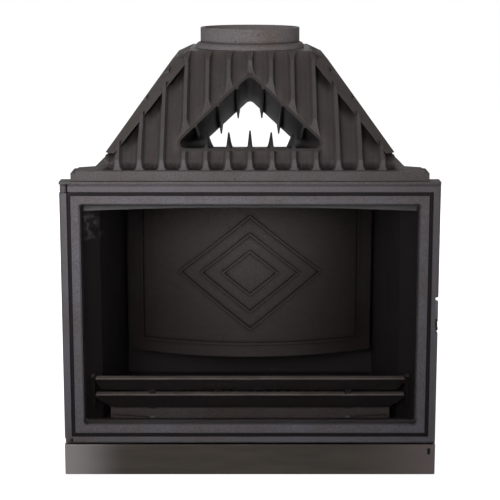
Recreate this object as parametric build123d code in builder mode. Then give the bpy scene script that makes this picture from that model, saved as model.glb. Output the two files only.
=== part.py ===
from build123d import *
from math import atan2, cos, degrees, radians, sin, tan
import os

# Cast-iron fireplace insert with one glazed door, a ribbed smoke hood with a
# triangular air tunnel through it, and a round flue collar.
# Millimetres. X runs to the viewer's right, Y runs back from the door, Z is up.
# The origin is on the floor, in the middle of the plan.

os.makedirs("parts", exist_ok=True)

# ---------------------------------------------------------------- driving sizes
overall_width = 700.0
overall_depth = 446.0
base_height = 62.0
body_top = 563.0
overall_height = 830.0
collar_height = 41.0
hood_top = overall_height - collar_height
front = -overall_depth / 2
half = overall_width / 2

running_gap = 0.3          # between pieces of different bodies
seat_gap = 0.2             # around a piece set in another with fire cement
pin_clearance = 0.08       # radial, pin in its hole
screw_clearance = 0.1      # radial, screw shank in its hole

# body plan, as half widths and depths behind the door's face
body_inset = 20.0          # the body is this much narrower than the door, on each side
front_part_depth = 76.0    # wide front part of the body
shoulder_step = 30.0       # the body narrows behind its front part
shoulder_run = 18.0
rear_taper = 18.0
chamber_inset = 18.0       # body's side to the fire chamber, at the door
knee_inset = 15.0
knee_lead = 14.0
rear_chamber_inset = 16.0
side_wall_thickness = 10.0
back_wall_thickness = 8.0
back_wall_setback = 22.0   # inner face of the back wall to the rear of the insert
front_half = half - body_inset
shoulder_half = front_half - shoulder_step
rear_half = shoulder_half - rear_taper
shoulder_depth = front_part_depth + shoulder_run
wall_front_inner = front_half - chamber_inset
wall_knee_inner = shoulder_half - knee_inset
wall_rear_inner = rear_half - rear_chamber_inset
knee_depth = shoulder_depth - knee_lead
back_wall_depth = overall_depth - back_wall_setback

hearth_thickness = 10.0
top_plate_thickness = 8.0
lip_thickness = 4.5        # thin front edge of the top plate, over the door
lip_setback = 1.0

# door
door_thickness = 24.0
door_gap = 0.6             # over and under the door
chamfer_width = 4.0
outer_band = 9.5
groove_width = 7.5
groove_depth = 6.0
inner_band = 13.0
inner_slope = 3.5
lip_depth = 9.0            # how far back the glass lip reaches
glass_rebate = 11.5        # width of the lip that covers the glass
glass_thickness = 4.0
glass_gap = 0.8            # round the glass in its rebate
glass_edge = 0.5
tape_inset = 1.0
tape_thickness = 2.0
tape_width = 8.0
bar_rebate = 7.0           # step outside the glass that carries its retaining bars
seal_width = 10.0
seal_depth = 7.0
seal_round = 3.0
seal_inset = 7.0           # from the door's outer edge to the seal
seal_corner = 32.0         # the rope bends round the hinge knuckles at the corners
bar_corner = 17.0
corner_radius = 5.0

# hinge and latch
hinge_inset = 7.0          # axis to the door's left edge
pin_radius = 4.0
knuckle_radius = 6.6
knuckle_gap = 2.4          # round the knuckle, in the door's notch
upper_knuckle = 15.0
lower_knuckle = 9.0
pin_bite = 16.0            # length of pin inside the door's stile
latch_rise = 248.0         # top of the base to the middle of the latch
latch_height = 56.0
latch_plate = 5.0

# hood
flange_height = 14.0
flange_step = 3.5
flange_step_inset = 9.0
flange_front = 15.0        # depth of the flange's front face
flange_taper = 6.0
hood_foot_front = 17.0
hood_rear_setback = 14.0
hood_foot_inset = 14.0
front_kink_rise = 39.0     # body's top to where the front ribs lean back
side_kink_rise = 49.0
shoulder_drop = 14.0
deck_run = 30.0            # the deck slopes down this far out to the shoulder
deck_margin = 20.0
collar_depth = 314.0       # centre of the flue behind the door's face
seat_margin = 14.0         # the collar's seat stands out this far
flue_diameter = 200.0
flue_bore = 188.0
rib_pitch = 40.7
rib_crest = 6.0
trough_depth = 17.0
trough_floor = 23.0
trough_radius = 9.0
side_rib_first = 41.0      # depth of the foremost side rib
side_rib_pitch = 43.2
rear_trough_depth = 10.0
hip_low_inset = 4.1        # bevel along the hips: how far it cuts in from the side, at the kink
hip_high_inset = 27.2      # and at the shoulder
hip_slope = 0.56           # the bevel's fall across
hip_sink = 3.0             # its floor lies below the ribs that cross it
hip_root = 4.0             # its iron goes on into the hood this far
pocket_rise = 19.0         # body's top to the bottom of the valleys between the ribs
pocket_arch = ((0.0, 11.0), (5.0, 4.0))   # rise, narrowing of the valley at its foot
hood_wall = 7.0
deck_thickness = 12.0

# air tunnel: a triangle that tapers from front to back
tunnel_wall = 5.0
tunnel_apex_rise = 1.7     # apex over the hood's top, at the door's face
tunnel_apex_drop = 124.5   # and below it, at the rear
tunnel_half_front = 151.0
tunnel_half_rear = 106.0
tunnel_floor_rise = 61.3   # floor over the body's top, at the door's face
tunnel_floor_rear_rise = 5.0
tunnel_corner = 11.0
tunnel_lip = 0.5           # stands proud of the panel between the ribs
tunnel_split = 12.0        # the floor plate turns up this far, where the two roof plates meet it
long_fins = (25.0, 61.0)   # roof fins that run right through: places across
short_fin = 103.0
short_fin_end = 230.0
short_fin_height = 11.0
roof_fin_height = 17.0
fin_root = 11.0
fin_tip = 3.0
floor_fin_peak = 34.0
floor_fin_peak_depth = 135.0
floor_fin_count = 5

# flue collar
collar_foot = 9.0          # how far the foot stands out
collar_foot_height = 3.0
collar_flare = 9.0
collar_rim = 1.0

# ---------------------------------------------------------------- worked out
hearth_top = base_height + hearth_thickness
plate_bottom = body_top - top_plate_thickness
lip_bottom = body_top - lip_thickness
door_bottom = base_height + door_gap
door_top = lip_bottom - door_gap
opening_inset = chamfer_width + outer_band + groove_width + inner_band + inner_slope
glass_half = half - opening_inset
glass_low = door_bottom + opening_inset
glass_high = door_top - opening_inset
door_height = door_top - door_bottom
door_middle = (door_top + door_bottom) / 2
frame_play = 0.2
frame_front = door_thickness + running_gap + frame_play
frame_thickness = 11.5
frame_back = frame_front + frame_thickness
hinge_x = -half + hinge_inset
hinge_depth = door_thickness / 2
latch_z = base_height + latch_rise
latch_bottom = latch_z - latch_height / 2
latch_top = latch_z + latch_height / 2
hood_foot_rear = overall_depth - hood_rear_setback
hood_foot_half = rear_half - hood_foot_inset
front_kink = body_top + front_kink_rise
side_kink = body_top + side_kink_rise
shoulder_height = hood_top - shoulder_drop
seat_radius = flue_diameter / 2 + seat_margin
deck_front_depth = collar_depth - seat_radius
front_shoulder_depth = deck_front_depth - deck_run
deck_half = flue_diameter / 2 + deck_margin
side_shoulder_half = deck_half + deck_run
pocket_bottom = body_top + pocket_rise
front_lean = degrees(atan2(front_shoulder_depth - hood_foot_front, shoulder_height - front_kink))
side_lean = degrees(atan2(hood_foot_half - side_shoulder_half, shoulder_height - side_kink))


def upright(depth):
    """Plane that faces the viewer, this far behind the door's face. Extrude by minus to go back."""
    return Plane((0, front + depth, 0), x_dir=(1, 0, 0), z_dir=(0, -1, 0))


def save(piece, name):
    """Labels a finished piece and writes it."""
    piece.part.label = name
    export_step(piece.part, f"parts/{name}.step")


def slab(x0, x1, d0, d1, z0, z1, mode=Mode.ADD):
    """Box between two X places, two depths behind the door's face and two heights."""
    with Locations(((x0 + x1) / 2, front + (d0 + d1) / 2, (z0 + z1) / 2)):
        Box(x1 - x0, d1 - d0, z1 - z0, mode=mode)


def plan(points):
    """Closed outline in plan, symmetric about the middle, from right-hand points (half width, depth)."""
    right = [(x, front + d) for x, d in points]
    left = [(-x, y) for x, y in reversed(right)]
    with BuildSketch() as outline:
        with BuildLine():
            Polyline(*right, *left, close=True)
        make_face()
    return outline.sketch


# ---------------------------------------------------------------- base
base_plate_thickness = 6.0
base_front = 16.0
base_inset = 4.0           # from the door's side to the base's
base_margin = 4.0          # the base is wider than the body behind
base_rear_setback = 6.0
base_front_half = half - base_inset
base_rear_half = rear_half + base_margin
base_rear_depth = overall_depth - base_rear_setback
vent_width = 90.0
vent_height = 26.0
vent_pitch = 168.0
vent_count = 3

for side, name in ((1, "base_side_right"), (-1, "base_side_left")):
    with BuildPart() as base_side:
        with BuildSketch(Plane.XY):
            outer = [
                (base_front_half, base_front),
                (base_front_half, front_part_depth),
                (shoulder_half + base_plate_thickness, shoulder_depth),
                (base_rear_half, base_rear_depth),
            ]
            inner = [(x - base_plate_thickness, d) for x, d in reversed(outer)]
            with BuildLine():
                Polyline(*[(side * x, front + d) for x, d in outer + inner], close=True)
            make_face()
        extrude(amount=base_height)
        with BuildSketch(Plane.YZ):
            with Locations((front + (shoulder_depth + base_rear_depth) / 2, base_height / 2)):
                SlotOverall(vent_width, vent_height)
        extrude(amount=half, both=True, mode=Mode.SUBTRACT)
    save(base_side, name)

with BuildPart() as base_rear:
    rear_face = base_rear_depth - base_plate_thickness
    rear_inner = base_rear_half - base_plate_thickness
    slab(-rear_inner, rear_inner, rear_face, base_rear_depth, 0, base_height)
    with BuildSketch(upright(rear_face)):
        with GridLocations(vent_pitch, base_height, vent_count, 1):
            with Locations((0, base_height / 2)):
                SlotOverall(vent_width, vent_height)
    extrude(amount=-base_plate_thickness, mode=Mode.SUBTRACT)
save(base_rear, "base_rear")

# ---------------------------------------------------------------- hearth plate and fire bed
hearth_setback = 0.5
hearth_front = frame_front + hearth_setback
ash_side_margin = 122.0
ash_front = 130.0
ash_rear_margin = 114.0
ash_half = rear_half - ash_side_margin
ash_rear = back_wall_depth - ash_rear_margin
grate_margin = 9.0
grate_thickness = 9.0
grate_ledge = 4.0          # height of the ledge above the hearth plate's underside
air_slot_width = 44.0
air_slot_height = 12.0
air_slot_pitch = 26.0
air_slot_count = 2
air_slot_inset = 38.0
air_slot_x = shoulder_half - air_slot_inset
air_slot_first = 84.0      # depth of the first slot, behind the ash fence
knuckle_arm = 20.0         # ties the lower knuckle to the hearth plate
bolt_radius = 4.0
bolt_head = 7.5
bolt_head_height = 5.5

with BuildPart() as hearth_plate:
    with BuildSketch(Plane.XY.offset(base_height)):
        add(plan([
            (front_half, hearth_front),
            (front_half, front_part_depth),
            (shoulder_half, shoulder_depth),
            (rear_half, base_rear_depth),
        ]))
    extrude(amount=hearth_thickness)
    # lower hinge knuckle, on an arm from the plate's front edge
    with BuildSketch(Plane.XY.offset(base_height)):
        with Locations((hinge_x, front + hinge_depth)):
            Circle(knuckle_radius)
        with Locations((hinge_x - knuckle_radius, front + hinge_depth)):
            Rectangle(
                knuckle_radius * 2, hearth_front - hinge_depth + knuckle_arm / 2,
                align=(Align.MIN, Align.MIN),
            )
        with Locations((hinge_x - knuckle_radius, front + hearth_front)):
            arm_reach = body_inset - hinge_inset + knuckle_radius
            Rectangle(arm_reach + knuckle_arm / 2, knuckle_arm, align=(Align.MIN, Align.MIN))
    extrude(amount=lower_knuckle)
    slab(-ash_half, ash_half, ash_front, ash_rear, base_height, hearth_top, mode=Mode.SUBTRACT)
    slab(
        -ash_half - grate_margin, ash_half + grate_margin,
        ash_front - grate_margin, ash_rear + grate_margin,
        base_height + grate_ledge, hearth_top, mode=Mode.SUBTRACT,
    )
    with BuildSketch(Plane.XY.offset(base_height)):
        for i in range(air_slot_count):
            with Locations((air_slot_x, front + air_slot_first + i * air_slot_pitch)):
                SlotOverall(air_slot_width, air_slot_height)
    extrude(amount=hearth_thickness, mode=Mode.SUBTRACT)
    with Locations((hinge_x, front + hinge_depth, base_height)):
        Hole(pin_radius, depth=hearth_thickness * 2)
save(hearth_plate, "hearth_plate")

grate_gap = 0.5
grate_slot = 9.0
grate_slot_pitch = 20.0
grate_bridge = 14.0        # iron left round the two rows of slots

with BuildPart() as fire_grate:
    grate_half = ash_half + grate_margin - grate_gap
    grate_low = base_height + grate_ledge
    slab(
        -grate_half, grate_half,
        ash_front - grate_margin + grate_gap, ash_rear + grate_margin - grate_gap,
        grate_low, grate_low + grate_thickness,
    )
    slots_across = int((2 * ash_half - grate_slot) // grate_slot_pitch)
    slot_length = (ash_rear - ash_front) / 2 - grate_bridge
    for row in (-1, 1):
        with BuildSketch(Plane.XY.offset(grate_low)):
            with Locations((0, front + (ash_front + ash_rear) / 2 + row * (ash_rear - ash_front) / 4)):
                with GridLocations(grate_slot_pitch, 1, slots_across, 1):
                    SlotOverall(slot_length, grate_slot, rotation=90)
        extrude(amount=grate_thickness, mode=Mode.SUBTRACT)
save(fire_grate, "fire_grate")

# ---------------------------------------------------------------- walls of the body
rib_height = 7.0
rib_width = 5.0
side_rib_count = 8
back_rib_count = 13
wall_high = plate_bottom
wall_height = wall_high - hearth_top
rib_margin = 12.0
wall_bolt_margin = 40.0
wall_bolt_heights = (
    hearth_top + wall_bolt_margin,
    (hearth_top + wall_high) / 2,
    wall_high - wall_bolt_margin,
)
wall_bolt_length = 26.0
wall_bolt_play = 3.0       # the hole is deeper than the bolt is long
wall_edge_inset = 2.0      # walls stand in from the plates' edges
wall_rib_start = 20.0
root = 1.0                 # what stands on a face starts this far inside it
baffle_drop = 35.0
baffle_front = 130.0
baffle_rear_gap = 4.0
baffle_thickness = 12.0
baffle_low = plate_bottom - baffle_drop
baffle_rear = back_wall_depth - baffle_rear_gap
ledge_height = 8.0
ledge_width = 14.0


def side_wall_line(depth):
    """Inner half width of the fire chamber behind the knee, at a depth."""
    share = (depth - knee_depth) / (back_wall_depth - knee_depth)
    return wall_knee_inner + share * (wall_rear_inner - wall_knee_inner)


back_bolt_x = wall_rear_inner + side_wall_thickness / 2
front_bolt_x = (wall_front_inner + front_half) / 2

for side, name in ((1, "side_wall_right"), (-1, "side_wall_left")):
    with BuildPart() as side_wall:
        with BuildSketch(Plane.XY.offset(hearth_top)):
            points = [
                (wall_front_inner, frame_back),
                (wall_knee_inner, knee_depth),
                (wall_rear_inner, back_wall_depth),
                (wall_rear_inner + side_wall_thickness, back_wall_depth),
                (wall_knee_inner + side_wall_thickness, shoulder_depth - wall_edge_inset),
                (front_half - wall_edge_inset, front_part_depth - 2 * wall_edge_inset),
                (front_half - wall_edge_inset, frame_back),
            ]
            with BuildLine():
                Polyline(*[(side * x, front + d) for x, d in points], close=True)
            make_face()
        extrude(amount=wall_height)
        # ledge that carries the smoke baffle
        with BuildSketch(Plane.XY.offset(baffle_low - ledge_height)):
            ledge = [
                (side_wall_line(baffle_front) + root, baffle_front),
                (side_wall_line(baffle_rear) + root, baffle_rear),
                (side_wall_line(baffle_rear) - ledge_width, baffle_rear),
                (side_wall_line(baffle_front) - ledge_width, baffle_front),
            ]
            with BuildLine():
                Polyline(*[(side * x, front + d) for x, d in ledge], close=True)
            make_face()
        extrude(amount=ledge_height)
        # upright ribs on the outside, to shed heat
        rib_run = back_wall_depth - shoulder_depth - 2 * wall_rib_start
        for i in range(side_rib_count):
            depth = shoulder_depth + wall_rib_start + i * rib_run / (side_rib_count - 1)
            outside = side_wall_line(depth) + side_wall_thickness
            with Locations((side * (outside - root), front + depth, hearth_top + wall_height / 2)):
                Box(
                    rib_height + root, rib_width, wall_height - 2 * rib_margin,
                    align=(Align.MIN if side > 0 else Align.MAX, Align.CENTER, Align.CENTER),
                )
        for z in wall_bolt_heights:
            with Locations(Plane((side * back_bolt_x, front + back_wall_depth, z), z_dir=(0, 1, 0))):
                Hole(bolt_radius + screw_clearance, depth=wall_bolt_length)
            with Locations(Plane((side * front_bolt_x, front + frame_back, z), z_dir=(0, -1, 0))):
                Hole(bolt_radius + screw_clearance, depth=wall_bolt_length)
    save(side_wall, name)

back_wall_half = rear_half - 2 * wall_edge_inset
back_rib_margin = 26.0

with BuildPart() as back_wall:
    back_outer = back_wall_depth + back_wall_thickness
    slab(-back_wall_half, back_wall_half, back_wall_depth, back_outer, hearth_top, wall_high)
    back_rib_pitch = 2 * (wall_rear_inner - back_rib_margin) / (back_rib_count - 1)
    with Locations((0, front + back_outer - root, hearth_top + wall_height / 2)):
        with GridLocations(back_rib_pitch, 1, back_rib_count, 1):
            Box(
                rib_width, rib_height + root, wall_height - 2 * rib_margin,
                align=(Align.CENTER, Align.MIN, Align.CENTER),
            )
    for z in wall_bolt_heights:
        for side in (-1, 1):
            with Locations(Plane((side * back_bolt_x, front + back_outer, z), z_dir=(0, 1, 0))):
                Hole(bolt_radius + screw_clearance, depth=back_wall_thickness)
save(back_wall, "back_wall")

with BuildPart() as back_wall_bolts:
    for z in wall_bolt_heights:
        for side in (-1, 1):
            with Locations(Plane((side * back_bolt_x, front + back_outer, z), z_dir=(0, 1, 0))):
                Cylinder(
                    bolt_head, bolt_head_height,
                    align=(Align.CENTER, Align.CENTER, Align.MIN),
                )
                Cylinder(
                    bolt_radius, back_wall_thickness + wall_bolt_length - wall_bolt_play,
                    align=(Align.CENTER, Align.CENTER, Align.MAX),
                )
    chamfer(back_wall_bolts.edges().filter_by(GeomType.CIRCLE).group_by(Axis.Y)[-1], 1.0)
save(back_wall_bolts, "back_wall_bolts")

# ---------------------------------------------------------------- front frame that the door seals on
frame_inset = 9.0
sill_height = 29.0
lintel_height = 40.0
frame_corner = 8.0
frame_half = half - frame_inset
frame_open_low = hearth_top + sill_height
frame_open_high = plate_bottom - lintel_height
deflector_side_gap = 2.0
deflector_thickness = 3.0
deflector_drop = 12.0      # below the frame's opening, at its ends
deflector_arch = 6.5
deflector_top_gap = 4.0
deflector_screw_inset = 80.0
deflector_screw_radius = 2.5
deflector_screw_drop = 12.0
deflector_screw_bite = 6.0
deflector_half = wall_front_inner - deflector_side_gap
deflector_end = frame_open_high - deflector_drop
deflector_middle = deflector_end + deflector_arch
deflector_screw_x = (deflector_screw_inset - deflector_half, 0.0, deflector_half - deflector_screw_inset)
deflector_high = wall_high - deflector_top_gap
deflector_screw_z = deflector_high - deflector_screw_drop
deflector_screw_head = 4.75
deflector_screw_head_height = 2.6

with BuildPart() as front_frame:
    slab(-frame_half, frame_half, frame_front, frame_back, hearth_top, wall_high)
    with BuildSketch(upright(frame_front)):
        with Locations((0, (frame_open_low + frame_open_high) / 2)):
            RectangleRounded(2 * wall_front_inner, frame_open_high - frame_open_low, frame_corner)
    extrude(amount=-frame_thickness, mode=Mode.SUBTRACT)
    for z in wall_bolt_heights:
        for side in (-1, 1):
            with Locations(Plane((side * front_bolt_x, front + frame_front, z), z_dir=(0, -1, 0))):
                CounterSinkHole(bolt_radius + screw_clearance, bolt_head, depth=frame_thickness)
    for x in deflector_screw_x:
        with Locations(Plane((x, front + frame_back, deflector_screw_z), z_dir=(0, 1, 0))):
            Hole(deflector_screw_radius + screw_clearance, depth=deflector_screw_bite + root)
save(front_frame, "front_frame")

sink_depth = 0.4           # the screws' heads lie below the frame's face
sink_gap = 0.5

with BuildPart() as front_frame_screws:
    sink = bolt_head - bolt_radius
    for z in wall_bolt_heights:
        for side in (-1, 1):
            place = (side * front_bolt_x, front + frame_front + sink_depth, z)
            with Locations(Plane(place, z_dir=(0, -1, 0))):
                Cylinder(
                    bolt_radius, frame_thickness + wall_bolt_length - wall_bolt_play - 2 * sink_gap,
                    align=(Align.CENTER, Align.CENTER, Align.MAX),
                )
                Cone(
                    bolt_radius, bolt_head - sink_gap, sink - sink_gap,
                    align=(Align.CENTER, Align.CENTER, Align.MAX),
                )
save(front_frame_screws, "front_frame_screws")

# ---------------------------------------------------------------- top plate
plate_margin = 2.0         # the plate is wider than the body
smoke_side_margin = 46.0
smoke_front = 44.0
smoke_rear_margin = 24.0
smoke_half = rear_half - smoke_side_margin
smoke_rear = back_wall_depth - smoke_rear_margin
front_bolt_inset = 18.0
side_bolt_inset = 28.0
rear_bolt_inset = 16.0
hood_bolt_places = [
    (rear_half - front_bolt_inset, 56.0),
    (rear_half - side_bolt_inset, 190.0),
    (rear_half - side_bolt_inset, 310.0),
    (150.0, hood_foot_rear - rear_bolt_inset),
]
hood_bolt_bite = 11.0

with BuildPart() as top_plate:
    with BuildSketch(Plane.XY.offset(plate_bottom)):
        add(plan([
            (front_half + plate_margin, frame_front),
            (front_half + plate_margin, front_part_depth + plate_margin),
            (shoulder_half + plate_margin, shoulder_depth + 2 * plate_margin),
            (rear_half + plate_margin, overall_depth),
        ]))
    extrude(amount=top_plate_thickness)
    slab(-half, half, lip_setback, frame_back, lip_bottom, body_top)
    slab(-smoke_half, smoke_half, smoke_front, smoke_rear, plate_bottom, body_top, mode=Mode.SUBTRACT)
    # upper hinge knuckle, under the front edge
    with BuildSketch(Plane.XY.offset(lip_bottom)):
        with Locations((hinge_x, front + hinge_depth)):
            Circle(knuckle_radius)
        with Locations((hinge_x - knuckle_radius, front + hinge_depth)):
            Rectangle(knuckle_radius, frame_front - hinge_depth - running_gap, align=(Align.MIN, Align.MIN))
    extrude(amount=-upper_knuckle)
    with Locations((hinge_x, front + hinge_depth, lip_bottom - upper_knuckle)):
        Cylinder(pin_radius, upper_knuckle, align=(Align.CENTER, Align.CENTER, Align.MIN), mode=Mode.SUBTRACT)
    for x, depth in hood_bolt_places:
        for side in (-1, 1):
            with Locations((side * x, front + depth, plate_bottom)):
                Cylinder(
                    bolt_radius + screw_clearance, top_plate_thickness,
                    align=(Align.CENTER, Align.CENTER, Align.MIN), mode=Mode.SUBTRACT,
                )
save(top_plate, "top_plate")

with BuildPart() as hinge_pins:
    upper_end = lip_bottom - upper_knuckle
    with Locations((hinge_x, front + hinge_depth, upper_end - pin_bite)):
        Cylinder(
            pin_radius, upper_knuckle + pin_bite - pin_clearance,
            align=(Align.CENTER, Align.CENTER, Align.MIN),
        )
    with Locations((hinge_x, front + hinge_depth, base_height)):
        Cylinder(pin_radius, lower_knuckle + pin_bite, align=(Align.CENTER, Align.CENTER, Align.MIN))
save(hinge_pins, "hinge_pins")

# ---------------------------------------------------------------- hood
recess_shift = trough_depth / cos(radians(front_lean))
trough_mouth = rib_pitch - rib_crest
trough_over = 4.0          # a valley's section reaches this far outside the iron
trough_end = hood_top + trough_depth
front_rib_half_count = 6
side_trough_mouth = side_rib_pitch - rib_crest
front_rise = (shoulder_height - front_kink) / (front_shoulder_depth - hood_foot_front)
side_rise = (shoulder_height - side_kink) / (hood_foot_half - side_shoulder_half)


def hood_envelope(grow, top, bottom):
    """Leaning pyramid of the hood, moved inwards by minus grow, from bottom to top."""
    front_shift = grow / cos(radians(front_lean))
    side_shift = grow / cos(radians(side_lean))
    front_knee = front_kink + grow * tan(radians(front_lean / 2))
    side_knee = side_kink + grow * tan(radians(side_lean / 2))
    low_depth = hood_foot_front - grow
    low_half = hood_foot_half + grow
    rear = hood_foot_rear + grow
    front_slope = [(front + low_depth, bottom), (front + low_depth, front_knee)]
    side_slope = [(low_half, bottom), (low_half, side_knee)]
    if grow < 0:
        depth_at_top = hood_foot_front - front_shift + (top - front_kink) / front_rise
        half_at_top = hood_foot_half + side_shift - (top - side_kink) / side_rise
        front_slope += [(front + depth_at_top, top)]
        side_slope += [(half_at_top, top)]
    else:
        front_slope += [(front + front_shoulder_depth, shoulder_height), (front + deck_front_depth, top)]
        side_slope += [(side_shoulder_half, shoulder_height), (deck_half, top)]
    with BuildPart() as envelope:
        with BuildSketch(Plane.YZ):
            with BuildLine():
                Polyline(*front_slope, (front + rear, top), (front + rear, bottom), close=True)
            make_face()
        extrude(amount=half, both=True)
        with BuildSketch(upright(0)):
            with BuildLine():
                mirrored = [(-x, z) for x, z in reversed(side_slope)]
                Polyline(*side_slope, *mirrored, close=True)
            make_face()
        extrude(amount=-overall_depth, mode=Mode.INTERSECT)
    return envelope.part


def trough_outline(mouth, depth, narrower=0.0):
    """Section of one valley between two ribs: X across it, Y from the crest into the iron."""
    floor = trough_floor * mouth / trough_mouth - narrower
    with BuildSketch() as outline:
        with BuildLine():
            Polyline(
                (narrower / 2 - mouth / 2, -trough_over), (mouth / 2 - narrower / 2, -trough_over),
                (mouth / 2 - narrower / 2, 0), (floor / 2, depth),
                (-floor / 2, depth), (narrower / 2 - mouth / 2, 0), close=True,
            )
        make_face()
        bottom = outline.vertices().group_by(Axis.Y)[-1]
        fillet(bottom, trough_radius - narrower / 4)
    return outline.sketch


def valley(mouth, depth, kink, lean, end):
    """One valley at the origin, into the iron along Y: its pocket, then a stretch that leans back."""
    sections = [(rise, narrower) for rise, narrower in pocket_arch] + [(kink - pocket_bottom, 0.0)]
    with BuildPart() as hollow:
        # the pocket at its foot narrows to a rounded bottom
        for (low, low_narrower), (high, high_narrower) in zip(sections, sections[1:]):
            for rise, narrower in ((low, low_narrower), (high, high_narrower)):
                with BuildSketch(Plane.XY.offset(pocket_bottom + rise)):
                    add(trough_outline(mouth, depth, narrower))
            loft(ruled=True)
        if lean:
            up = (0, sin(radians(lean)), cos(radians(lean)))
            with BuildSketch(Plane((0, 0, kink), x_dir=(1, 0, 0), z_dir=up)):
                add(trough_outline(mouth, depth))
            extrude(amount=(end - kink) / cos(radians(lean)))
    return hollow.part


def row_of(hollow, places):
    """The same valley at each place."""
    with BuildPart() as row:
        with Locations(*places):
            add(hollow)
    return row.part


front_places = [(i + 0.5) * rib_pitch for i in range(-front_rib_half_count - 1, front_rib_half_count + 1)]
side_count = int((hood_foot_rear - side_rib_first) // side_rib_pitch) + 1
side_places = [side_rib_first + (i - 0.5) * side_rib_pitch for i in range(side_count)]
front_valleys = row_of(
    valley(trough_mouth, trough_depth, front_kink, front_lean, trough_end),
    [Location((x, front + hood_foot_front, 0)) for x in front_places],
)
side_valleys = row_of(
    valley(side_trough_mouth, trough_depth, side_kink, side_lean, trough_end),
    [Location((hood_foot_half, front + depth, 0), (0, 0, 90)) for depth in side_places],
)
rear_valleys = row_of(
    valley(trough_mouth, rear_trough_depth, shoulder_height - rear_trough_depth, 0, 0),
    [Location((x, front + hood_foot_rear, 0), (0, 0, 180)) for x in front_places[2:-2]],
)


def tunnel_size(depth):
    """Apex height, half width and floor height of the air tunnel at a depth."""
    share = depth / overall_depth
    apex = hood_top + tunnel_apex_rise - share * (tunnel_apex_rise + tunnel_apex_drop)
    wide = tunnel_half_front + share * (tunnel_half_rear - tunnel_half_front)
    floor = body_top + tunnel_floor_rise - share * (tunnel_floor_rise - tunnel_floor_rear_rise)
    return apex, wide, floor


def tunnel_outline(depth, grow):
    """Section of the air tunnel at a depth, made larger by grow."""
    apex, wide, floor = tunnel_size(depth)
    with BuildSketch(upright(depth)) as outline:
        with BuildLine():
            Polyline((-wide, floor), (wide, floor), (0, apex), close=True)
        make_face()
        fillet(outline.vertices(), tunnel_corner)
        if grow:
            offset(amount=grow)
    return outline.sketch


def tunnel_body(grow):
    """The whole tunnel from in front of the hood to behind it."""
    with BuildPart() as body:
        add(tunnel_outline(0, grow))
        add(tunnel_outline(overall_depth, grow))
        loft(ruled=True)
    return body.part


tunnel_inside = tunnel_body(0)
tunnel_outside = tunnel_body(tunnel_wall)
tunnel_hole = tunnel_body(tunnel_wall + seat_gap)

recess_plane = Plane(
    (0, front + hood_foot_front + recess_shift, front_kink),
    x_dir=(1, 0, 0),
    z_dir=(0, -cos(radians(front_lean)), sin(radians(front_lean))),
)


def mouth_depth(line):
    """Depth where a height that changes evenly with depth meets the panel between the ribs."""
    start = hood_foot_front + recess_shift
    at_start = line(start) - front_kink
    fall = (line(start) - line(start + 1)) + front_rise
    return start + at_start / fall


apex_depth = mouth_depth(lambda depth: tunnel_size(depth)[0])
sill_depth = mouth_depth(lambda depth: tunnel_size(depth)[2])

with BuildPart() as rib_ends:
    # over the tunnel the ribs end in upright faces on its edge
    with BuildSketch(recess_plane):
        slope_rise = 1 / cos(radians(front_lean))
        apex_up = (tunnel_size(apex_depth)[0] - front_kink) * slope_rise
        sill_up = (tunnel_size(sill_depth)[2] - front_kink) * slope_rise
        mouth_half = tunnel_size(sill_depth)[1]
        with BuildLine():
            Polyline((-mouth_half, sill_up), (mouth_half, sill_up), (0, apex_up), close=True)
        make_face()
        offset(amount=tunnel_wall)
    extrude(amount=2 * trough_depth, dir=(0, 0, 1))

hip_low_half = hood_foot_half - hip_low_inset
hip_high_half = side_shoulder_half - hip_high_inset
hip_run = front_shoulder_depth - hood_foot_front
hip_slope_back = (shoulder_height - front_kink - hip_slope * (hip_low_half - hip_high_half)) / hip_run


def bevel_plane(sink):
    """Plane of the right-hand hip's bevel, moved down by sink."""
    return Plane(
        (hip_low_half, front + hood_foot_front, front_kink - sink),
        x_dir=(0, 1, hip_slope_back),
        z_dir=(hip_slope, -hip_slope_back, 1),
    )


def hip_corners(height, sink):
    """Where the bevel meets the front slope and the side slope, and a place inside the iron, at a height."""
    level = front_kink - sink + hip_slope * hip_low_half - hip_slope_back * hood_foot_front
    front_depth = hood_foot_front + (height - front_kink) / front_rise
    side_half = hood_foot_half - (height - side_kink) / side_rise
    return [
        ((level + hip_slope_back * front_depth - height) / hip_slope, front_depth),
        (side_half, (height + hip_slope * side_half - level) / hip_slope_back),
        (side_half - trough_depth / cos(radians(side_lean)) - hip_root, front_depth + recess_shift + hip_root),
    ]


with BuildPart() as hip_bevels:
    with BuildSketch(bevel_plane(0)):
        Rectangle(overall_width, overall_width)
    extrude(amount=hood_foot_half)
    mirror(about=Plane.YZ)

with BuildPart() as hip_fills:
    # closes the valleys along the hips; only the ribs' ends stand out of it
    for height in (side_kink, shoulder_height):
        with BuildSketch(Plane.XY.offset(height)):
            with BuildLine():
                Polyline(*[(x, front + d) for x, d in hip_corners(height, hip_sink)], close=True)
            make_face()
    loft(ruled=True)
    mirror(about=Plane.YZ)

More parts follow.
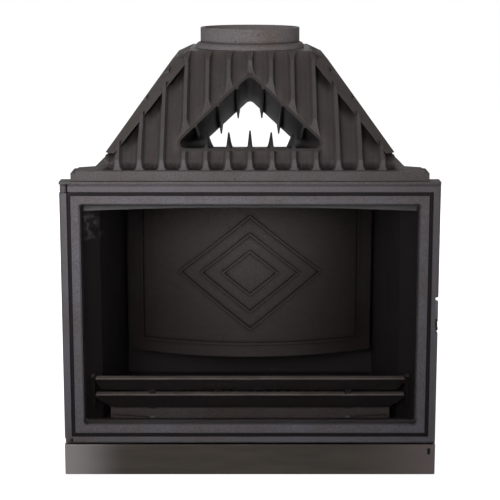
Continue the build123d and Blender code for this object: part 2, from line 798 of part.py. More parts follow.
with BuildPart() as hood:
    add(hood_envelope(0, hood_top, body_top + flange_height))
    add(front_valleys, mode=Mode.SUBTRACT)
    add(side_valleys, mode=Mode.SUBTRACT)
    add(mirror(side_valleys, about=Plane.YZ), mode=Mode.SUBTRACT)
    add(rear_valleys, mode=Mode.SUBTRACT)
    add(rib_ends.part, mode=Mode.SUBTRACT)
    add(hip_fills.part)
    add(hip_bevels.part, mode=Mode.SUBTRACT)
    # flange: wide in front, narrow behind, with a low step round its edge
    for inset, low, high in (
        (0, 0, flange_height),
        (flange_step_inset, flange_height, flange_height + flange_step),
    ):
        with BuildSketch(Plane.XY.offset(body_top + low)):
            add(plan([
                (front_half - inset, flange_front),
                (front_half - inset, front_part_depth - inset),
                (shoulder_half - inset - flange_taper, shoulder_depth - inset),
                (rear_half - inset, hood_foot_rear + flange_taper - inset / 3),
            ]))
        extrude(amount=high - low)
    # round seat of the collar
    with Locations((0, front + collar_depth, hood_top)):
        Cylinder(seat_radius, deck_thickness, align=(Align.CENTER, Align.CENTER, Align.MAX))
    add(hood_envelope(-trough_depth - hood_wall, hood_top - deck_thickness, body_top), mode=Mode.SUBTRACT)
    with Locations((0, front + collar_depth, hood_top)):
        Cylinder(
            flue_bore / 2, deck_thickness * 2,
            align=(Align.CENTER, Align.CENTER, Align.CENTER), mode=Mode.SUBTRACT,
        )
    add(tunnel_hole, mode=Mode.SUBTRACT)
    for x, depth in hood_bolt_places:
        for side in (-1, 1):
            with Locations((side * x, front + depth, body_top)):
                Cylinder(
                    bolt_radius + screw_clearance, hood_bolt_bite + root,
                    align=(Align.CENTER, Align.CENTER, Align.MIN), mode=Mode.SUBTRACT,
                )
save(hood, "hood")


def fin(x, depths, heights, down):
    """Upright blade inside the tunnel: its section at each depth is a wedge on the roof or floor."""
    with BuildPart() as blade:
        for depth, height in zip(depths, heights):
            apex, wide, floor = tunnel_size(depth)
            roof = apex - abs(x) * (apex - floor) / wide
            start = roof + fin_root if down else floor - tunnel_wall / 2
            tip = roof - height if down else floor + height
            with BuildSketch(upright(depth)):
                with BuildLine():
                    Polyline(
                        (x - fin_root / 2, start), (x + fin_root / 2, start),
                        (x + fin_tip / 2, tip), (x - fin_tip / 2, tip), close=True,
                    )
                make_face()
        loft(ruled=True)
    return blade.part


fin_start = hood_foot_front + recess_shift
fin_low_start = 1.0        # height of the fins at the tunnel's two ends
fin_low_end = 4.0
floor_fin_step = 3.4       # each floor fin is this much lower than its neighbour nearer the middle

with BuildPart() as tunnel_fins:
    for side in (-1, 1):
        for x in long_fins:
            add(fin(side * x, (fin_start, hood_foot_rear), (fin_low_start, roof_fin_height), True))
        add(fin(side * short_fin, (fin_start, short_fin_end), (fin_low_start, short_fin_height), True))
    for i in range(floor_fin_count):
        from_middle = i - (floor_fin_count - 1) / 2
        x = from_middle * rib_pitch
        peak = floor_fin_peak - abs(from_middle) * floor_fin_step
        add(fin(x, (fin_start, floor_fin_peak_depth), (fin_low_start, peak), False))
        add(fin(x, (floor_fin_peak_depth, hood_foot_rear), (peak, fin_low_end), False))
    add(tunnel_outside, mode=Mode.INTERSECT)

with BuildPart() as whole_tunnel:
    add(tunnel_outside)
    add(tunnel_inside, mode=Mode.SUBTRACT)
    add(tunnel_fins.part)
    # cut to length: leaning front end, upright rear end
    with BuildSketch(recess_plane.offset(tunnel_lip)):
        Rectangle(2 * half, 4 * half)
    extrude(amount=overall_height, mode=Mode.SUBTRACT)
    slab(
        -half, half, hood_foot_rear - rear_trough_depth, 2 * overall_depth, 0, overall_height,
        mode=Mode.SUBTRACT,
    )

with BuildPart() as floor_zone:
    # everything up to a little over the tunnel's floor, and the fins that stand on it
    with BuildSketch(Plane.YZ.offset(-half)):
        with BuildLine():
            Polyline(
                (front, tunnel_size(0)[2] + tunnel_split),
                (-front, tunnel_size(overall_depth)[2] + tunnel_split),
                (-front, body_top), (front, body_top), close=True,
            )
        make_face()
    extrude(amount=overall_width)
    for i in range(floor_fin_count):
        x = (i - (floor_fin_count - 1) / 2) * rib_pitch
        for depths, heights in (
            ((fin_start, floor_fin_peak_depth), (fin_low_start, floor_fin_peak)),
            ((floor_fin_peak_depth, hood_foot_rear), (floor_fin_peak, fin_low_end)),
        ):
            add(fin(x, depths, heights, False))

with BuildPart() as tunnel_floor:
    add(whole_tunnel.part)
    add(floor_zone.part, mode=Mode.INTERSECT)
save(tunnel_floor, "tunnel_floor")

for side, name in ((1, "tunnel_roof_right"), (-1, "tunnel_roof_left")):
    with BuildPart() as tunnel_roof:
        add(whole_tunnel.part)
        add(floor_zone.part, mode=Mode.SUBTRACT)
        slab(*sorted((0, -side * half)), 0, overall_depth, body_top, overall_height, mode=Mode.SUBTRACT)
    save(tunnel_roof, name)

with BuildPart() as hood_bolts:
    for x, depth in hood_bolt_places:
        for side in (-1, 1):
            with BuildSketch(Plane.XY.offset(plate_bottom)):
                with Locations((side * x, front + depth)):
                    RegularPolygon(bolt_head, 6)
            extrude(amount=-bolt_head_height)
            with Locations((side * x, front + depth, plate_bottom)):
                Cylinder(
                    bolt_radius, top_plate_thickness + hood_bolt_bite,
                    align=(Align.CENTER, Align.CENTER, Align.MIN),
                )
save(hood_bolts, "hood_bolts")

# ---------------------------------------------------------------- flue collar
with BuildPart() as flue_collar:
    with BuildSketch(Plane.XZ):
        outer = flue_diameter / 2
        inner = flue_bore / 2
        foot = outer + collar_foot
        low = hood_top
        with BuildLine():
            Line((inner, low), (foot, low))
            Line((foot, low), (foot, low + collar_foot_height))
            RadiusArc(
                (foot, low + collar_foot_height),
                (outer, low + collar_foot_height + collar_flare),
                -collar_flare,
            )
            Line((outer, low + collar_foot_height + collar_flare), (outer, overall_height - collar_rim))
            Line((outer, overall_height - collar_rim), (outer - collar_rim, overall_height))
            Line((outer - collar_rim, overall_height), (inner, overall_height))
            Line((inner, overall_height), (inner, low))
        make_face()
    revolve(axis=Axis.Z)
    flue_collar.part.position = (0, front + collar_depth, 0)
save(flue_collar, "flue_collar")

# ---------------------------------------------------------------- inside the fire chamber
baffle_gap = 1.0
baffle_chamfer = 3.0

with BuildPart() as smoke_baffle:
    with BuildSketch(Plane.XY.offset(baffle_low)):
        add(plan([
            (side_wall_line(baffle_front) - baffle_gap, baffle_front),
            (side_wall_line(baffle_rear) - baffle_gap, baffle_rear),
        ]))
    extrude(amount=baffle_thickness)
    chamfer(smoke_baffle.edges().filter_by(Axis.X).group_by(Axis.Y)[0], baffle_chamfer)
save(smoke_baffle, "smoke_baffle")


deflector_rear = front + frame_back + deflector_thickness

with BuildPart() as airwash_deflector:
    with BuildSketch(upright(frame_back)):
        with BuildLine():
            ThreePointArc(
                (-deflector_half, deflector_end), (0, deflector_middle), (deflector_half, deflector_end),
            )
            Polyline(
                (deflector_half, deflector_end), (deflector_half, deflector_high),
                (-deflector_half, deflector_high), (-deflector_half, deflector_end),
            )
        make_face()
    extrude(amount=-deflector_thickness)
    for x in deflector_screw_x:
        with Locations(Plane((x, deflector_rear, deflector_screw_z), z_dir=(0, 1, 0))):
            Hole(deflector_screw_radius + screw_clearance, depth=deflector_thickness)
save(airwash_deflector, "airwash_deflector")

with BuildPart() as deflector_screws:
    for x in deflector_screw_x:
        with Locations(Plane((x, deflector_rear, deflector_screw_z), z_dir=(0, 1, 0))):
            Cylinder(
                deflector_screw_head, deflector_screw_head_height,
                align=(Align.CENTER, Align.CENTER, Align.MIN),
            )
            Cylinder(
                deflector_screw_radius, deflector_thickness + deflector_screw_bite,
                align=(Align.CENTER, Align.CENTER, Align.MAX),
            )
save(deflector_screws, "deflector_screws")

liner_side_gap = 9.0
liner_standoff = 52.0      # its upright edges to the back wall
liner_bow = 62.0           # it bows forward this far in the middle
liner_thickness = 10.0
liner_lift = 68.0          # over the hearth
liner_drop = 55.0          # below the top plate
relief_height = 2.6
relief_root = 2.0          # the raised lines start this far inside the liner
relief_line = 4.5
border_inset = 26.0
lozenge_half_widths = (150.0, 105.0, 60.0)
lozenge_half_heights = (123.0, 86.0, 49.0)
lozenge_line = 5.6
liner_half = wall_rear_inner - liner_side_gap
liner_edge_depth = back_wall_depth - liner_standoff
liner_middle_depth = liner_edge_depth - liner_bow
liner_low = hearth_top + liner_lift
liner_high = plate_bottom - liner_drop
liner_radius = (liner_half ** 2 + liner_bow ** 2) / (2 * liner_bow)
liner_centre = liner_middle_depth + liner_radius
stud_radius = 7.0
stud_inset = 42.0
stud_margin = 60.0
stud_x = liner_half - stud_inset
stud_heights = (liner_low + stud_margin, liner_high - stud_margin)


def liner_face(x, grow):
    """Depth of the liner's curved face at one X place, moved towards the fire by grow."""
    return liner_centre - ((liner_radius + grow) ** 2 - x ** 2) ** 0.5


def liner_shell(near, far, low, high):
    """Upright slice of the bowed liner between two offsets from its front face."""
    with BuildPart() as shell:
        with BuildSketch(Plane.XY.offset(low)):
            with BuildLine():
                ThreePointArc(
                    (-liner_half, front + liner_face(liner_half, near)),
                    (0, front + liner_face(0, near)),
                    (liner_half, front + liner_face(liner_half, near)),
                )
                Line(
                    (liner_half, front + liner_face(liner_half, near)),
                    (liner_half, front + liner_face(liner_half, -far)),
                )
                ThreePointArc(
                    (liner_half, front + liner_face(liner_half, -far)),
                    (0, front + liner_face(0, -far)),
                    (-liner_half, front + liner_face(liner_half, -far)),
                )
                Line(
                    (-liner_half, front + liner_face(liner_half, -far)),
                    (-liner_half, front + liner_face(liner_half, near)),
                )
            make_face()
        extrude(amount=high - low)
    return shell.part


with BuildPart() as liner_lines:
    # a border line and three nested lozenges
    middle = (liner_low + liner_high) / 2
    tall = liner_high - liner_low - 2 * border_inset
    with BuildSketch(upright(0)):
        with Locations((0, middle)):
            wide = 2 * (liner_half - border_inset)
            Rectangle(wide, tall)
            Rectangle(wide - 2 * relief_line, tall - 2 * relief_line, mode=Mode.SUBTRACT)
    extrude(amount=-overall_depth)
    for wide, high in zip(lozenge_half_widths, lozenge_half_heights):
        with BuildSketch(upright(0)):
            for grow, mode in ((0, Mode.ADD), (-lozenge_line, Mode.SUBTRACT)):
                with BuildLine():
                    Polyline(
                        (wide + grow, middle), (0, middle + high + grow),
                        (-wide - grow, middle), (0, middle - high - grow), close=True,
                    )
                make_face(mode=mode)
        extrude(amount=-overall_depth)
    add(liner_shell(relief_height, relief_root, liner_low, liner_high), mode=Mode.INTERSECT)

with BuildPart() as back_liner:
    add(liner_shell(0, liner_thickness, liner_low, liner_high))
    add(liner_lines.part)
save(back_liner, "back_liner")

with BuildPart() as liner_studs:
    stud_start = liner_face(stud_x, -liner_thickness / 2)
    for z in stud_heights:
        for side in (-1, 1):
            with Locations(Plane((side * stud_x, front + back_wall_depth, z), z_dir=(0, -1, 0))):
                Cylinder(
                    stud_radius, back_wall_depth - stud_start,
                    align=(Align.CENTER, Align.CENTER, Align.MIN),
                )
    add(liner_shell(0, liner_thickness, liner_low, liner_high), mode=Mode.SUBTRACT)
save(liner_studs, "liner_studs")

# log bars, their two supports and the ash fence
bar_side_gap = 18.0
bar_set_in = 3.0           # behind the front frame
bar_thickness = 19.0
bar_lift = 48.5            # over the hearth
lower_bar_height = 26.0
lower_bar_cut = 30.0
bar_spacing = 9.5
upper_bar_height = 22.0
upper_bar_cut = 13.0
bar_end_height = 6.0
bar_round = 3.0
bar_cut_round = 0.6        # share of the end's cut that is rounded
support_inset = 80.0
support_width = 16.0
support_thickness = 9.0
spacer_inset = 2.0
bar_seat = 0.2
fence_side_gap = 18.0
fence_set_in = 10.0        # behind the bars' front faces
fence_thickness = 7.0
fence_height = 45.0
fence_end_cut = 16.0
bar_half = wall_front_inner - bar_side_gap
bar_front = frame_back + bar_set_in
lower_bar_low = hearth_top + bar_lift
lower_bar_high = lower_bar_low + lower_bar_height
upper_bar_low = lower_bar_high + bar_spacing
upper_bar_high = upper_bar_low + upper_bar_height
fence_half = wall_knee_inner - fence_side_gap
fence_front = bar_front + fence_set_in
fence_low = hearth_top
fence_high = fence_low + fence_height
support_x = fence_half - support_inset

for name, low, high, cut in (
    ("log_bar_upper", upper_bar_low, upper_bar_high, upper_bar_cut),
    ("log_bar_lower", lower_bar_low, lower_bar_high, lower_bar_cut),
):
    with BuildPart() as log_bar:
        with BuildSketch(upright(bar_front)) as outline:
            with BuildLine():
                Polyline(
                    (-bar_half, high), (bar_half, high), (bar_half, high - bar_end_height),
                    (bar_half - cut, low), (-bar_half + cut, low),
                    (-bar_half, high - bar_end_height), close=True,
                )
            make_face()
            fillet(outline.vertices().group_by(Axis.Y)[0], min(cut, high - low) * bar_cut_round)
        extrude(amount=-bar_thickness)
        fillet(log_bar.edges().filter_by(Axis.X).group_by(Axis.Z)[-1], bar_round)
    save(log_bar, name)

bar_back = bar_front + bar_thickness + bar_seat
with BuildPart() as bar_supports:
    for side in (-1, 1):
        left = side * support_x - support_width / 2
        right = left + support_width
        support_high = upper_bar_high - bar_end_height
        slab(left, right, bar_back, bar_back + support_thickness, hearth_top, support_high)
        for low, high in ((lower_bar_high, upper_bar_low), (fence_high, lower_bar_low)):
            slab(
                left + spacer_inset, right - spacer_inset, bar_front + bar_round, bar_back,
                low + bar_seat, high - bar_seat,
            )
save(bar_supports, "bar_supports")

end_plate_gap = 1.5
end_plate = 7.0
end_plate_margin_low = 2.5
end_plate_margin_high = 6.0
end_plate_deep = 12.0
end_plate_round = 4.0
end_plate_low = lower_bar_low - end_plate_margin_low
end_plate_high = upper_bar_high + end_plate_margin_high
end_plate_front = bar_front - 1.0

with BuildPart() as bar_end_plates:
    near = bar_half + end_plate_gap
    for side in (-1, 1):
        places = sorted((side * near, side * (near + end_plate)))
        slab(*places, end_plate_front, end_plate_front + end_plate_deep, end_plate_low, end_plate_high)
    fillet(bar_end_plates.edges().filter_by(Axis.X).group_by(Axis.Y)[0], end_plate_round)
save(bar_end_plates, "bar_end_plates")

fence_bolt_z = fence_low + 24.0
fence_boss_z = fence_low + 11.0
fence_boss_radius = 9.0
fence_bolt_radius = 3.0
fence_bolt_head = 3.0
fence_bolt_play = 0.1      # the bolts end this far before the supports
fence_relief = 2.5
# upper edge of the fence's raised lower part: distance in from its end, drop from its top
fence_relief_edge = ((3.0, 15.0), (60.0, 18.0), (130.0, 31.0))

with BuildPart() as ash_fence:
    with BuildSketch(upright(fence_front)) as outline:
        with BuildLine():
            Polyline(
                (-fence_half, fence_high), (fence_half, fence_high),
                (fence_half, fence_low + fence_end_cut), (fence_half - fence_end_cut, fence_low),
                (-fence_half + fence_end_cut, fence_low), (-fence_half, fence_low + fence_end_cut),
                close=True,
            )
        make_face()
    extrude(amount=-fence_thickness)
    # lower part stands proud, its edge runs down from each end to the middle
    with BuildSketch(upright(fence_front)):
        left_edge = [(inset - fence_half, fence_high - drop) for inset, drop in fence_relief_edge]
        right_edge = [(-x, z) for x, z in reversed(left_edge)]
        with BuildLine():
            Polyline(
                *left_edge, *right_edge,
                (fence_half - fence_end_cut, fence_low), (-fence_half + fence_end_cut, fence_low), close=True,
            )
        make_face()
        for side in (-1, 1):
            with Locations((side * support_x, fence_boss_z)):
                Circle(fence_boss_radius)
    extrude(amount=fence_relief)
    for side in (-1, 1):
        place = (side * support_x, front + fence_front - fence_relief, fence_bolt_z)
        with Locations(Plane(place, z_dir=(0, -1, 0))):
            Hole(fence_bolt_radius + screw_clearance, depth=fence_thickness + fence_relief)
save(ash_fence, "ash_fence")

with BuildPart() as fence_bolts:
    for side in (-1, 1):
        place = (side * support_x, front + fence_front - fence_relief, fence_bolt_z)
        with Locations(Plane(place, z_dir=(0, -1, 0))):
            Cylinder(fence_bolt_radius * 2, fence_bolt_head, align=(Align.CENTER, Align.CENTER, Align.MIN))
            Cylinder(
                fence_bolt_radius, fence_relief + bar_back - fence_front - fence_bolt_play,
                align=(Align.CENTER, Align.CENTER, Align.MAX),
            )
    fillet(fence_bolts.edges().filter_by(GeomType.CIRCLE).group_by(Axis.Y)[0], fence_bolt_head / 2 - 0.1)
save(fence_bolts, "fence_bolts")

# ---------------------------------------------------------------- ash drawer and steel strip
sheet = 2.0
strip_low = 1.5
strip_gap = 1.4            # below the hearth plate and the door
strip_return = 12.0
strip_fold = 10.0
strip_round = 1.2
slot_inset = 12.4          # middle of the air control's slot to the strip's end
slot_width = 6.0
slot_drop = 9.0
slot_height = 12.0
pan_margin = 43.0          # wider than the ash opening, on each side
pan_rear_margin = 70.0
pan_low = 14.4
pan_drop = 10.0
runner_gap = 1.5
runner_web = 2.0
runner_lip = 12.0
runner_set_in = 2.0
runner_overrun = 20.0
strip_high = base_height - strip_gap
slot_x = half - slot_inset
slot_high = base_height - slot_drop
slot_low = slot_high - slot_height
pan_half = ash_half + pan_margin
pan_depth = ash_rear + pan_rear_margin
pan_high = base_height - pan_drop

with BuildPart() as drawer_front:
    slab(-half, half, 0, sheet, strip_low, strip_high)
    for side in (-1, 1):
        edge = side * half
        slab(*sorted((edge, edge - side * sheet)), 0, strip_return, strip_low, strip_high)
    slab(-half, half, 0, strip_fold, strip_high - sheet, strip_high)
    slab(
        slot_x - slot_width / 2, slot_x + slot_width / 2, 0, strip_return, slot_low, slot_high,
        mode=Mode.SUBTRACT,
    )
    fillet(drawer_front.edges().filter_by(Axis.X).group_by(Axis.Y)[0].sort_by(Axis.Z)[-1:], strip_round)
save(drawer_front, "drawer_front")

with BuildPart() as ash_drawer:
    slab(-pan_half, pan_half, sheet, pan_depth, pan_low, pan_high)
    slab(
        -pan_half + sheet, pan_half - sheet, 2 * sheet, pan_depth - sheet, pan_low + sheet, pan_high,
        mode=Mode.SUBTRACT,
    )
save(ash_drawer, "ash_drawer")

for side, name in ((1, "drawer_runner_right"), (-1, "drawer_runner_left")):
    with BuildPart() as runner:
        web_x = pan_half + runner_gap
        lip_low = pan_low - running_gap - runner_web
        runner_run = (hearth_front + runner_set_in, pan_depth + runner_overrun)
        places = sorted((side * web_x, side * (web_x + runner_web)))
        slab(*places, *runner_run, lip_low, base_height)
        places = sorted((side * (web_x - runner_lip), side * (web_x + runner_web)))
        slab(*places, *runner_run, lip_low, lip_low + runner_web)
        places = sorted((side * web_x, side * (web_x + runner_lip)))
        slab(*places, *runner_run, base_height - runner_web, base_height)
    save(runner, name)

# ---------------------------------------------------------------- air control
rod_width = 4.0
rod_front = 0.6
rod_foot = 14.0            # upturned end that carries the shutter
rod_gap = 0.5              # between the rod and the edges of its slot
shutter_thickness = 3.0
shutter_inner = 44.0       # from the slots' middle to the shutter's two sides
shutter_outer = 28.0
shutter_front_margin = 40.0
shutter_rear_margin = 22.0
shutter_link = 18.0
shutter_link_lap = 8.0
shutter_slot_lap = 2.0     # the shutter's slots are narrower than the plate's
stud_shank = 3.0
shutter_stud_head = 6.5
shutter_stud_plate = 3.0
shutter_stud_inset = 34.0
shutter_stud_depths = (8.0, 28.0)
shutter_travel = air_slot_pitch / 2
shutter_high = base_height - running_gap
shutter_low = shutter_high - shutter_thickness
shutter_near = air_slot_first - shutter_front_margin
shutter_far = air_slot_first + (air_slot_count - 1) * air_slot_pitch + shutter_rear_margin
rod_rear = shutter_near + shutter_link
shutter_studs_at = [(air_slot_x - shutter_stud_inset, air_slot_first + d) for d in shutter_stud_depths]

with BuildPart() as air_rod:
    slab(
        slot_x - rod_width / 2, slot_x + rod_width / 2, rod_front, rod_rear,
        slot_low + rod_gap, slot_high - rod_gap,
    )
    slab(
        slot_x - rod_width / 2, slot_x + rod_width / 2, rod_rear - rod_foot, rod_rear,
        slot_high - rod_gap, shutter_low,
    )
save(air_rod, "air_rod")

with BuildPart() as air_shutter:
    shutter_end = air_slot_x + shutter_outer
    slab(air_slot_x - shutter_inner, shutter_end, shutter_near, shutter_far, shutter_low, shutter_high)
    slab(
        shutter_end - shutter_link_lap, slot_x + rod_width / 2, shutter_near, rod_rear,
        shutter_low, shutter_high,
    )
    with BuildSketch(Plane.XY.offset(shutter_low)):
        for i in range(air_slot_count):
            with Locations((air_slot_x, front + air_slot_first + shutter_travel + i * air_slot_pitch)):
                SlotOverall(air_slot_width, air_slot_height - shutter_slot_lap)
        for x, depth in shutter_studs_at:
            with Locations((x, front + depth + shutter_travel / 2)):
                SlotCenterToCenter(shutter_travel, 2 * (stud_shank + pin_clearance), rotation=90)
    extrude(amount=shutter_thickness, mode=Mode.SUBTRACT)
save(air_shutter, "air_shutter")

with BuildPart() as shutter_studs:
    for x, depth in shutter_studs_at:
        with Locations((x, front + depth, base_height)):
            Cylinder(
                stud_shank, shutter_thickness + shutter_stud_plate + 2 * running_gap,
                align=(Align.CENTER, Align.CENTER, Align.MAX),
            )
        with Locations((x, front + depth, shutter_low - running_gap)):
            Cylinder(
                shutter_stud_head, shutter_stud_plate,
                align=(Align.CENTER, Align.CENTER, Align.MAX),
            )
save(shutter_studs, "shutter_studs")

# ---------------------------------------------------------------- door
latch_side_gap = 0.4
latch_recess = latch_plate + 2 * latch_side_gap
latch_recess_low = latch_bottom - 5.0
latch_recess_high = latch_top + 8.0
latch_depth = 12.0
latch_pin_radius = 3.0
latch_pin_bite = 12.0
heel_chamfer = 5.0


def pane(inset, radius=0.0):
    """Rectangle in the door's plane, this far inside the door's outer edge."""
    with BuildSketch() as outline:
        with Locations((0, door_middle)):
            if radius:
                RectangleRounded(overall_width - 2 * inset, door_height - 2 * inset, radius)
            else:
                Rectangle(overall_width - 2 * inset, door_height - 2 * inset)
    return outline.sketch


def ring(outer_inset, inner_inset, outer_radius=0.0, inner_radius=0.0):
    """Ring in the door's plane between two insets from the door's outer edge."""
    with BuildSketch() as outline:
        add(pane(outer_inset, outer_radius))
        add(pane(inner_inset, inner_radius), mode=Mode.SUBTRACT)
    return outline.sketch


band_edge = chamfer_width + outer_band
inner_band_edge = band_edge + groove_width
rebate_inset = opening_inset - glass_rebate
bar_inset = rebate_inset - bar_rebate
glass_front = lip_depth + tape_thickness
glass_back = glass_front + glass_thickness
inner_band_drop = 0.8

with BuildPart() as door_frame:
    with BuildSketch(upright(0)):
        add(ring(0, opening_inset, 0, corner_radius))
    extrude(amount=-door_thickness)
    outer_edges = door_frame.edges().group_by(Axis.Y)[0]
    opening_edges = outer_edges.filter_by(lambda e: abs(e.center().X) < glass_half + 1
                                          and glass_low - 1 < e.center().Z < glass_high + 1)
    border_edges = outer_edges.filter_by(lambda e: abs(abs(e.center().X) - half) < 1
                                         or e.center().Z < door_bottom + 1 or e.center().Z > door_top - 1)
    chamfer(border_edges, chamfer_width)
    chamfer(opening_edges, inner_slope)
    # groove between the outer and the inner band, then the inner band a little lower
    with BuildSketch(upright(0)):
        add(ring(band_edge, inner_band_edge))
    extrude(amount=-groove_depth, mode=Mode.SUBTRACT)
    with BuildSketch(upright(0)):
        add(ring(inner_band_edge - root, opening_inset + corner_radius))
    extrude(amount=-inner_band_drop, mode=Mode.SUBTRACT)
    # behind: rebate for the glass, a wider one for its bars, groove for the rope seal
    with BuildSketch(upright(lip_depth)):
        add(pane(rebate_inset))
    extrude(amount=-door_thickness, mode=Mode.SUBTRACT)
    with BuildSketch(upright(glass_back)):
        add(pane(bar_inset, bar_corner))
    extrude(amount=-door_thickness, mode=Mode.SUBTRACT)
    with BuildSketch(upright(door_thickness - seal_depth)):
        add(ring(seal_inset, seal_inset + seal_width, seal_corner, seal_corner - seal_width))
    extrude(amount=-door_thickness, mode=Mode.SUBTRACT)
    # notches for the two hinge knuckles, and the heel cut back so that it clears the frame
    notch_right = hinge_x + knuckle_radius + knuckle_gap
    upper_notch = (lip_bottom - upper_knuckle - 1, door_top + 1)
    lower_notch = (door_bottom - 1, base_height + lower_knuckle + 1)
    for low, high in (upper_notch, lower_notch):
        slab(-half - 1, notch_right, -1, door_thickness + 1, low, high, mode=Mode.SUBTRACT)
    with BuildSketch(Plane.XY.offset(door_bottom - 1)):
        with BuildLine():
            Polyline(
                (-half - 1, front + door_thickness - heel_chamfer - 1),
                (-half + heel_chamfer + 1, front + door_thickness + 1),
                (-half - 1, front + door_thickness + 1), close=True,
            )
        make_face()
    extrude(amount=door_height + 2, mode=Mode.SUBTRACT)
    # holes for the hinge pins
    for z in (upper_notch[0] - pin_bite, lower_notch[1] - 1):
        with Locations((hinge_x, front + hinge_depth, z)):
            Cylinder(
                pin_radius + pin_clearance, pin_bite + 1,
                align=(Align.CENTER, Align.CENTER, Align.MIN), mode=Mode.SUBTRACT,
            )
    # recess and pivot hole of the latch, in the right-hand edge
    slab(
        half - latch_recess, half + 1, -1, door_thickness + 1, latch_recess_low, latch_recess_high,
        mode=Mode.SUBTRACT,
    )
    with Locations(Plane((half, front + latch_depth, latch_z), z_dir=(1, 0, 0))):
        Hole(latch_pin_radius, depth=latch_recess + latch_pin_bite)
save(door_frame, "door_frame")

with BuildPart() as door_glass:
    with BuildSketch(upright(glass_front)):
        add(pane(rebate_inset + glass_gap))
    extrude(amount=-glass_thickness)
    chamfer(door_glass.edges().group_by(Axis.Y)[0], glass_edge)
save(door_glass, "door_glass")

with BuildPart() as glass_tape:
    with BuildSketch(upright(lip_depth)):
        add(ring(rebate_inset + tape_inset, rebate_inset + tape_inset + tape_width))
    extrude(amount=-tape_thickness)
save(glass_tape, "glass_tape")

retainer_width = 14.0
retainer_thickness = 3.0
retainer_gap = 0.5
retainer_screw = 2.0
retainer_head = 3.4
retainer_head_height = 2.2
retainer_pitch = 170.0
retainer_side_pitch = 150.0
retainer_centre = bar_inset + bar_rebate / 2
retainer_columns = 4
retainer_rows = 3
retainer_mid_x = half - retainer_centre
retainer_low = door_bottom + retainer_centre
retainer_high = door_top - retainer_centre
across = [((i - (retainer_columns - 1) / 2) * retainer_pitch, z)
          for z in (retainer_low, retainer_high) for i in range(retainer_columns)]
upwards = [(side * retainer_mid_x, door_middle + (i - (retainer_rows - 1) / 2) * retainer_side_pitch)
           for side in (-1, 1) for i in range(retainer_rows)]

with BuildPart() as glass_retainers:
    edge = bar_inset + retainer_gap
    end = bar_inset + bar_corner
    bar_rear = glass_back + retainer_thickness
    for z in (door_bottom + edge, door_top - edge - retainer_width):
        slab(-half + end, half - end, glass_back, bar_rear, z, z + retainer_width)
    for x in (-half + edge, half - edge - retainer_width):
        slab(x, x + retainer_width, glass_back, bar_rear, door_bottom + end, door_top - end)
    for x, z in across + upwards:
        with Locations(Plane((x, front + glass_back + retainer_thickness, z), z_dir=(0, 1, 0))):
            Hole(retainer_screw + screw_clearance, depth=retainer_thickness)
save(glass_retainers, "glass_retainers")

with BuildPart() as retainer_screws:
    for x, z in across + upwards:
        with Locations(Plane((x, front + glass_back + retainer_thickness, z), z_dir=(0, 1, 0))):
            Cylinder(retainer_head, retainer_head_height, align=(Align.CENTER, Align.CENTER, Align.MIN))
            Cylinder(retainer_screw, retainer_thickness, align=(Align.CENTER, Align.CENTER, Align.MAX))
save(retainer_screws, "retainer_screws")

with BuildPart() as door_seal:
    with BuildSketch(upright(door_thickness - seal_depth)):
        add(ring(
            seal_inset + seat_gap, seal_inset + seal_width - seat_gap,
            seal_corner - seat_gap, seal_corner - seal_width + seat_gap,
        ))
    extrude(amount=-(seal_depth + frame_play))
    fillet(door_seal.edges().group_by(Axis.Y)[-1], seal_round)
save(door_seal, "door_seal")

# ---------------------------------------------------------------- latch
hook_inner = 22.0
hook_outer = 28.0
hook_low_angle = 33.0
hook_high_angle = 72.0
hook_waist = 4.0           # the hook grows out of the lever this far from the pivot
hook_waist_angle = 20.0
hook_taper_angle = 16.0
keeper_radius = 3.5
keeper_reach = 18.25       # from the latch pivot to the keeper
keeper_collar = 2.0
keeper_collar_height = 1.5
keeper_setback = 0.6       # from the door's side
lever_front = 1.5
lever_back = 16.0
lever_round = 2.5
socket_rise = 7.0          # the loose handle's socket: lever's end to socket, its height and depth
socket_height = 11.0
socket_depth = 6.0
pivot_setback = 0.2
socket_low = latch_bottom + socket_rise
latch_inner_x = half - latch_recess + latch_side_gap


def at_pivot(radius, angle):
    """Point in the latch plate's plane, from its pivot: depth and height."""
    return (
        front + latch_depth + radius * cos(radians(angle)),
        latch_z + radius * sin(radians(angle)),
    )


with BuildPart() as latch_lever:
    with BuildSketch(Plane.YZ.offset(latch_inner_x)):
        with Locations((front + (lever_front + lever_back) / 2, latch_z)):
            RectangleRounded(lever_back - lever_front, latch_height, lever_round)
        # socket for the loose handle
        with Locations((front + lever_front, socket_low + socket_height / 2)):
            Rectangle(2 * socket_depth, socket_height, mode=Mode.SUBTRACT)
        # hook that drops behind the keeper
        with BuildLine():
            ThreePointArc(
                at_pivot(hook_outer, hook_low_angle),
                at_pivot(hook_outer, (hook_low_angle + hook_high_angle) / 2),
                at_pivot(hook_outer, hook_high_angle),
            )
            inner_angle = hook_high_angle - hook_taper_angle
            waist = at_pivot(hook_waist, hook_high_angle - hook_waist_angle)
            Line(at_pivot(hook_outer, hook_high_angle), at_pivot(hook_waist, hook_high_angle))
            Line(at_pivot(hook_waist, hook_high_angle), waist)
            Line(waist, at_pivot(hook_inner, inner_angle))
            ThreePointArc(
                at_pivot(hook_inner, inner_angle),
                at_pivot(hook_inner, (hook_low_angle + inner_angle) / 2),
                at_pivot(hook_inner, hook_low_angle),
            )
            Line(at_pivot(hook_inner, hook_low_angle), at_pivot(hook_outer, hook_low_angle))
        make_face()
        with Locations(at_pivot(0, 0)):
            Circle(latch_pin_radius + pin_clearance, mode=Mode.SUBTRACT)
    extrude(amount=latch_plate)
save(latch_lever, "latch_lever")

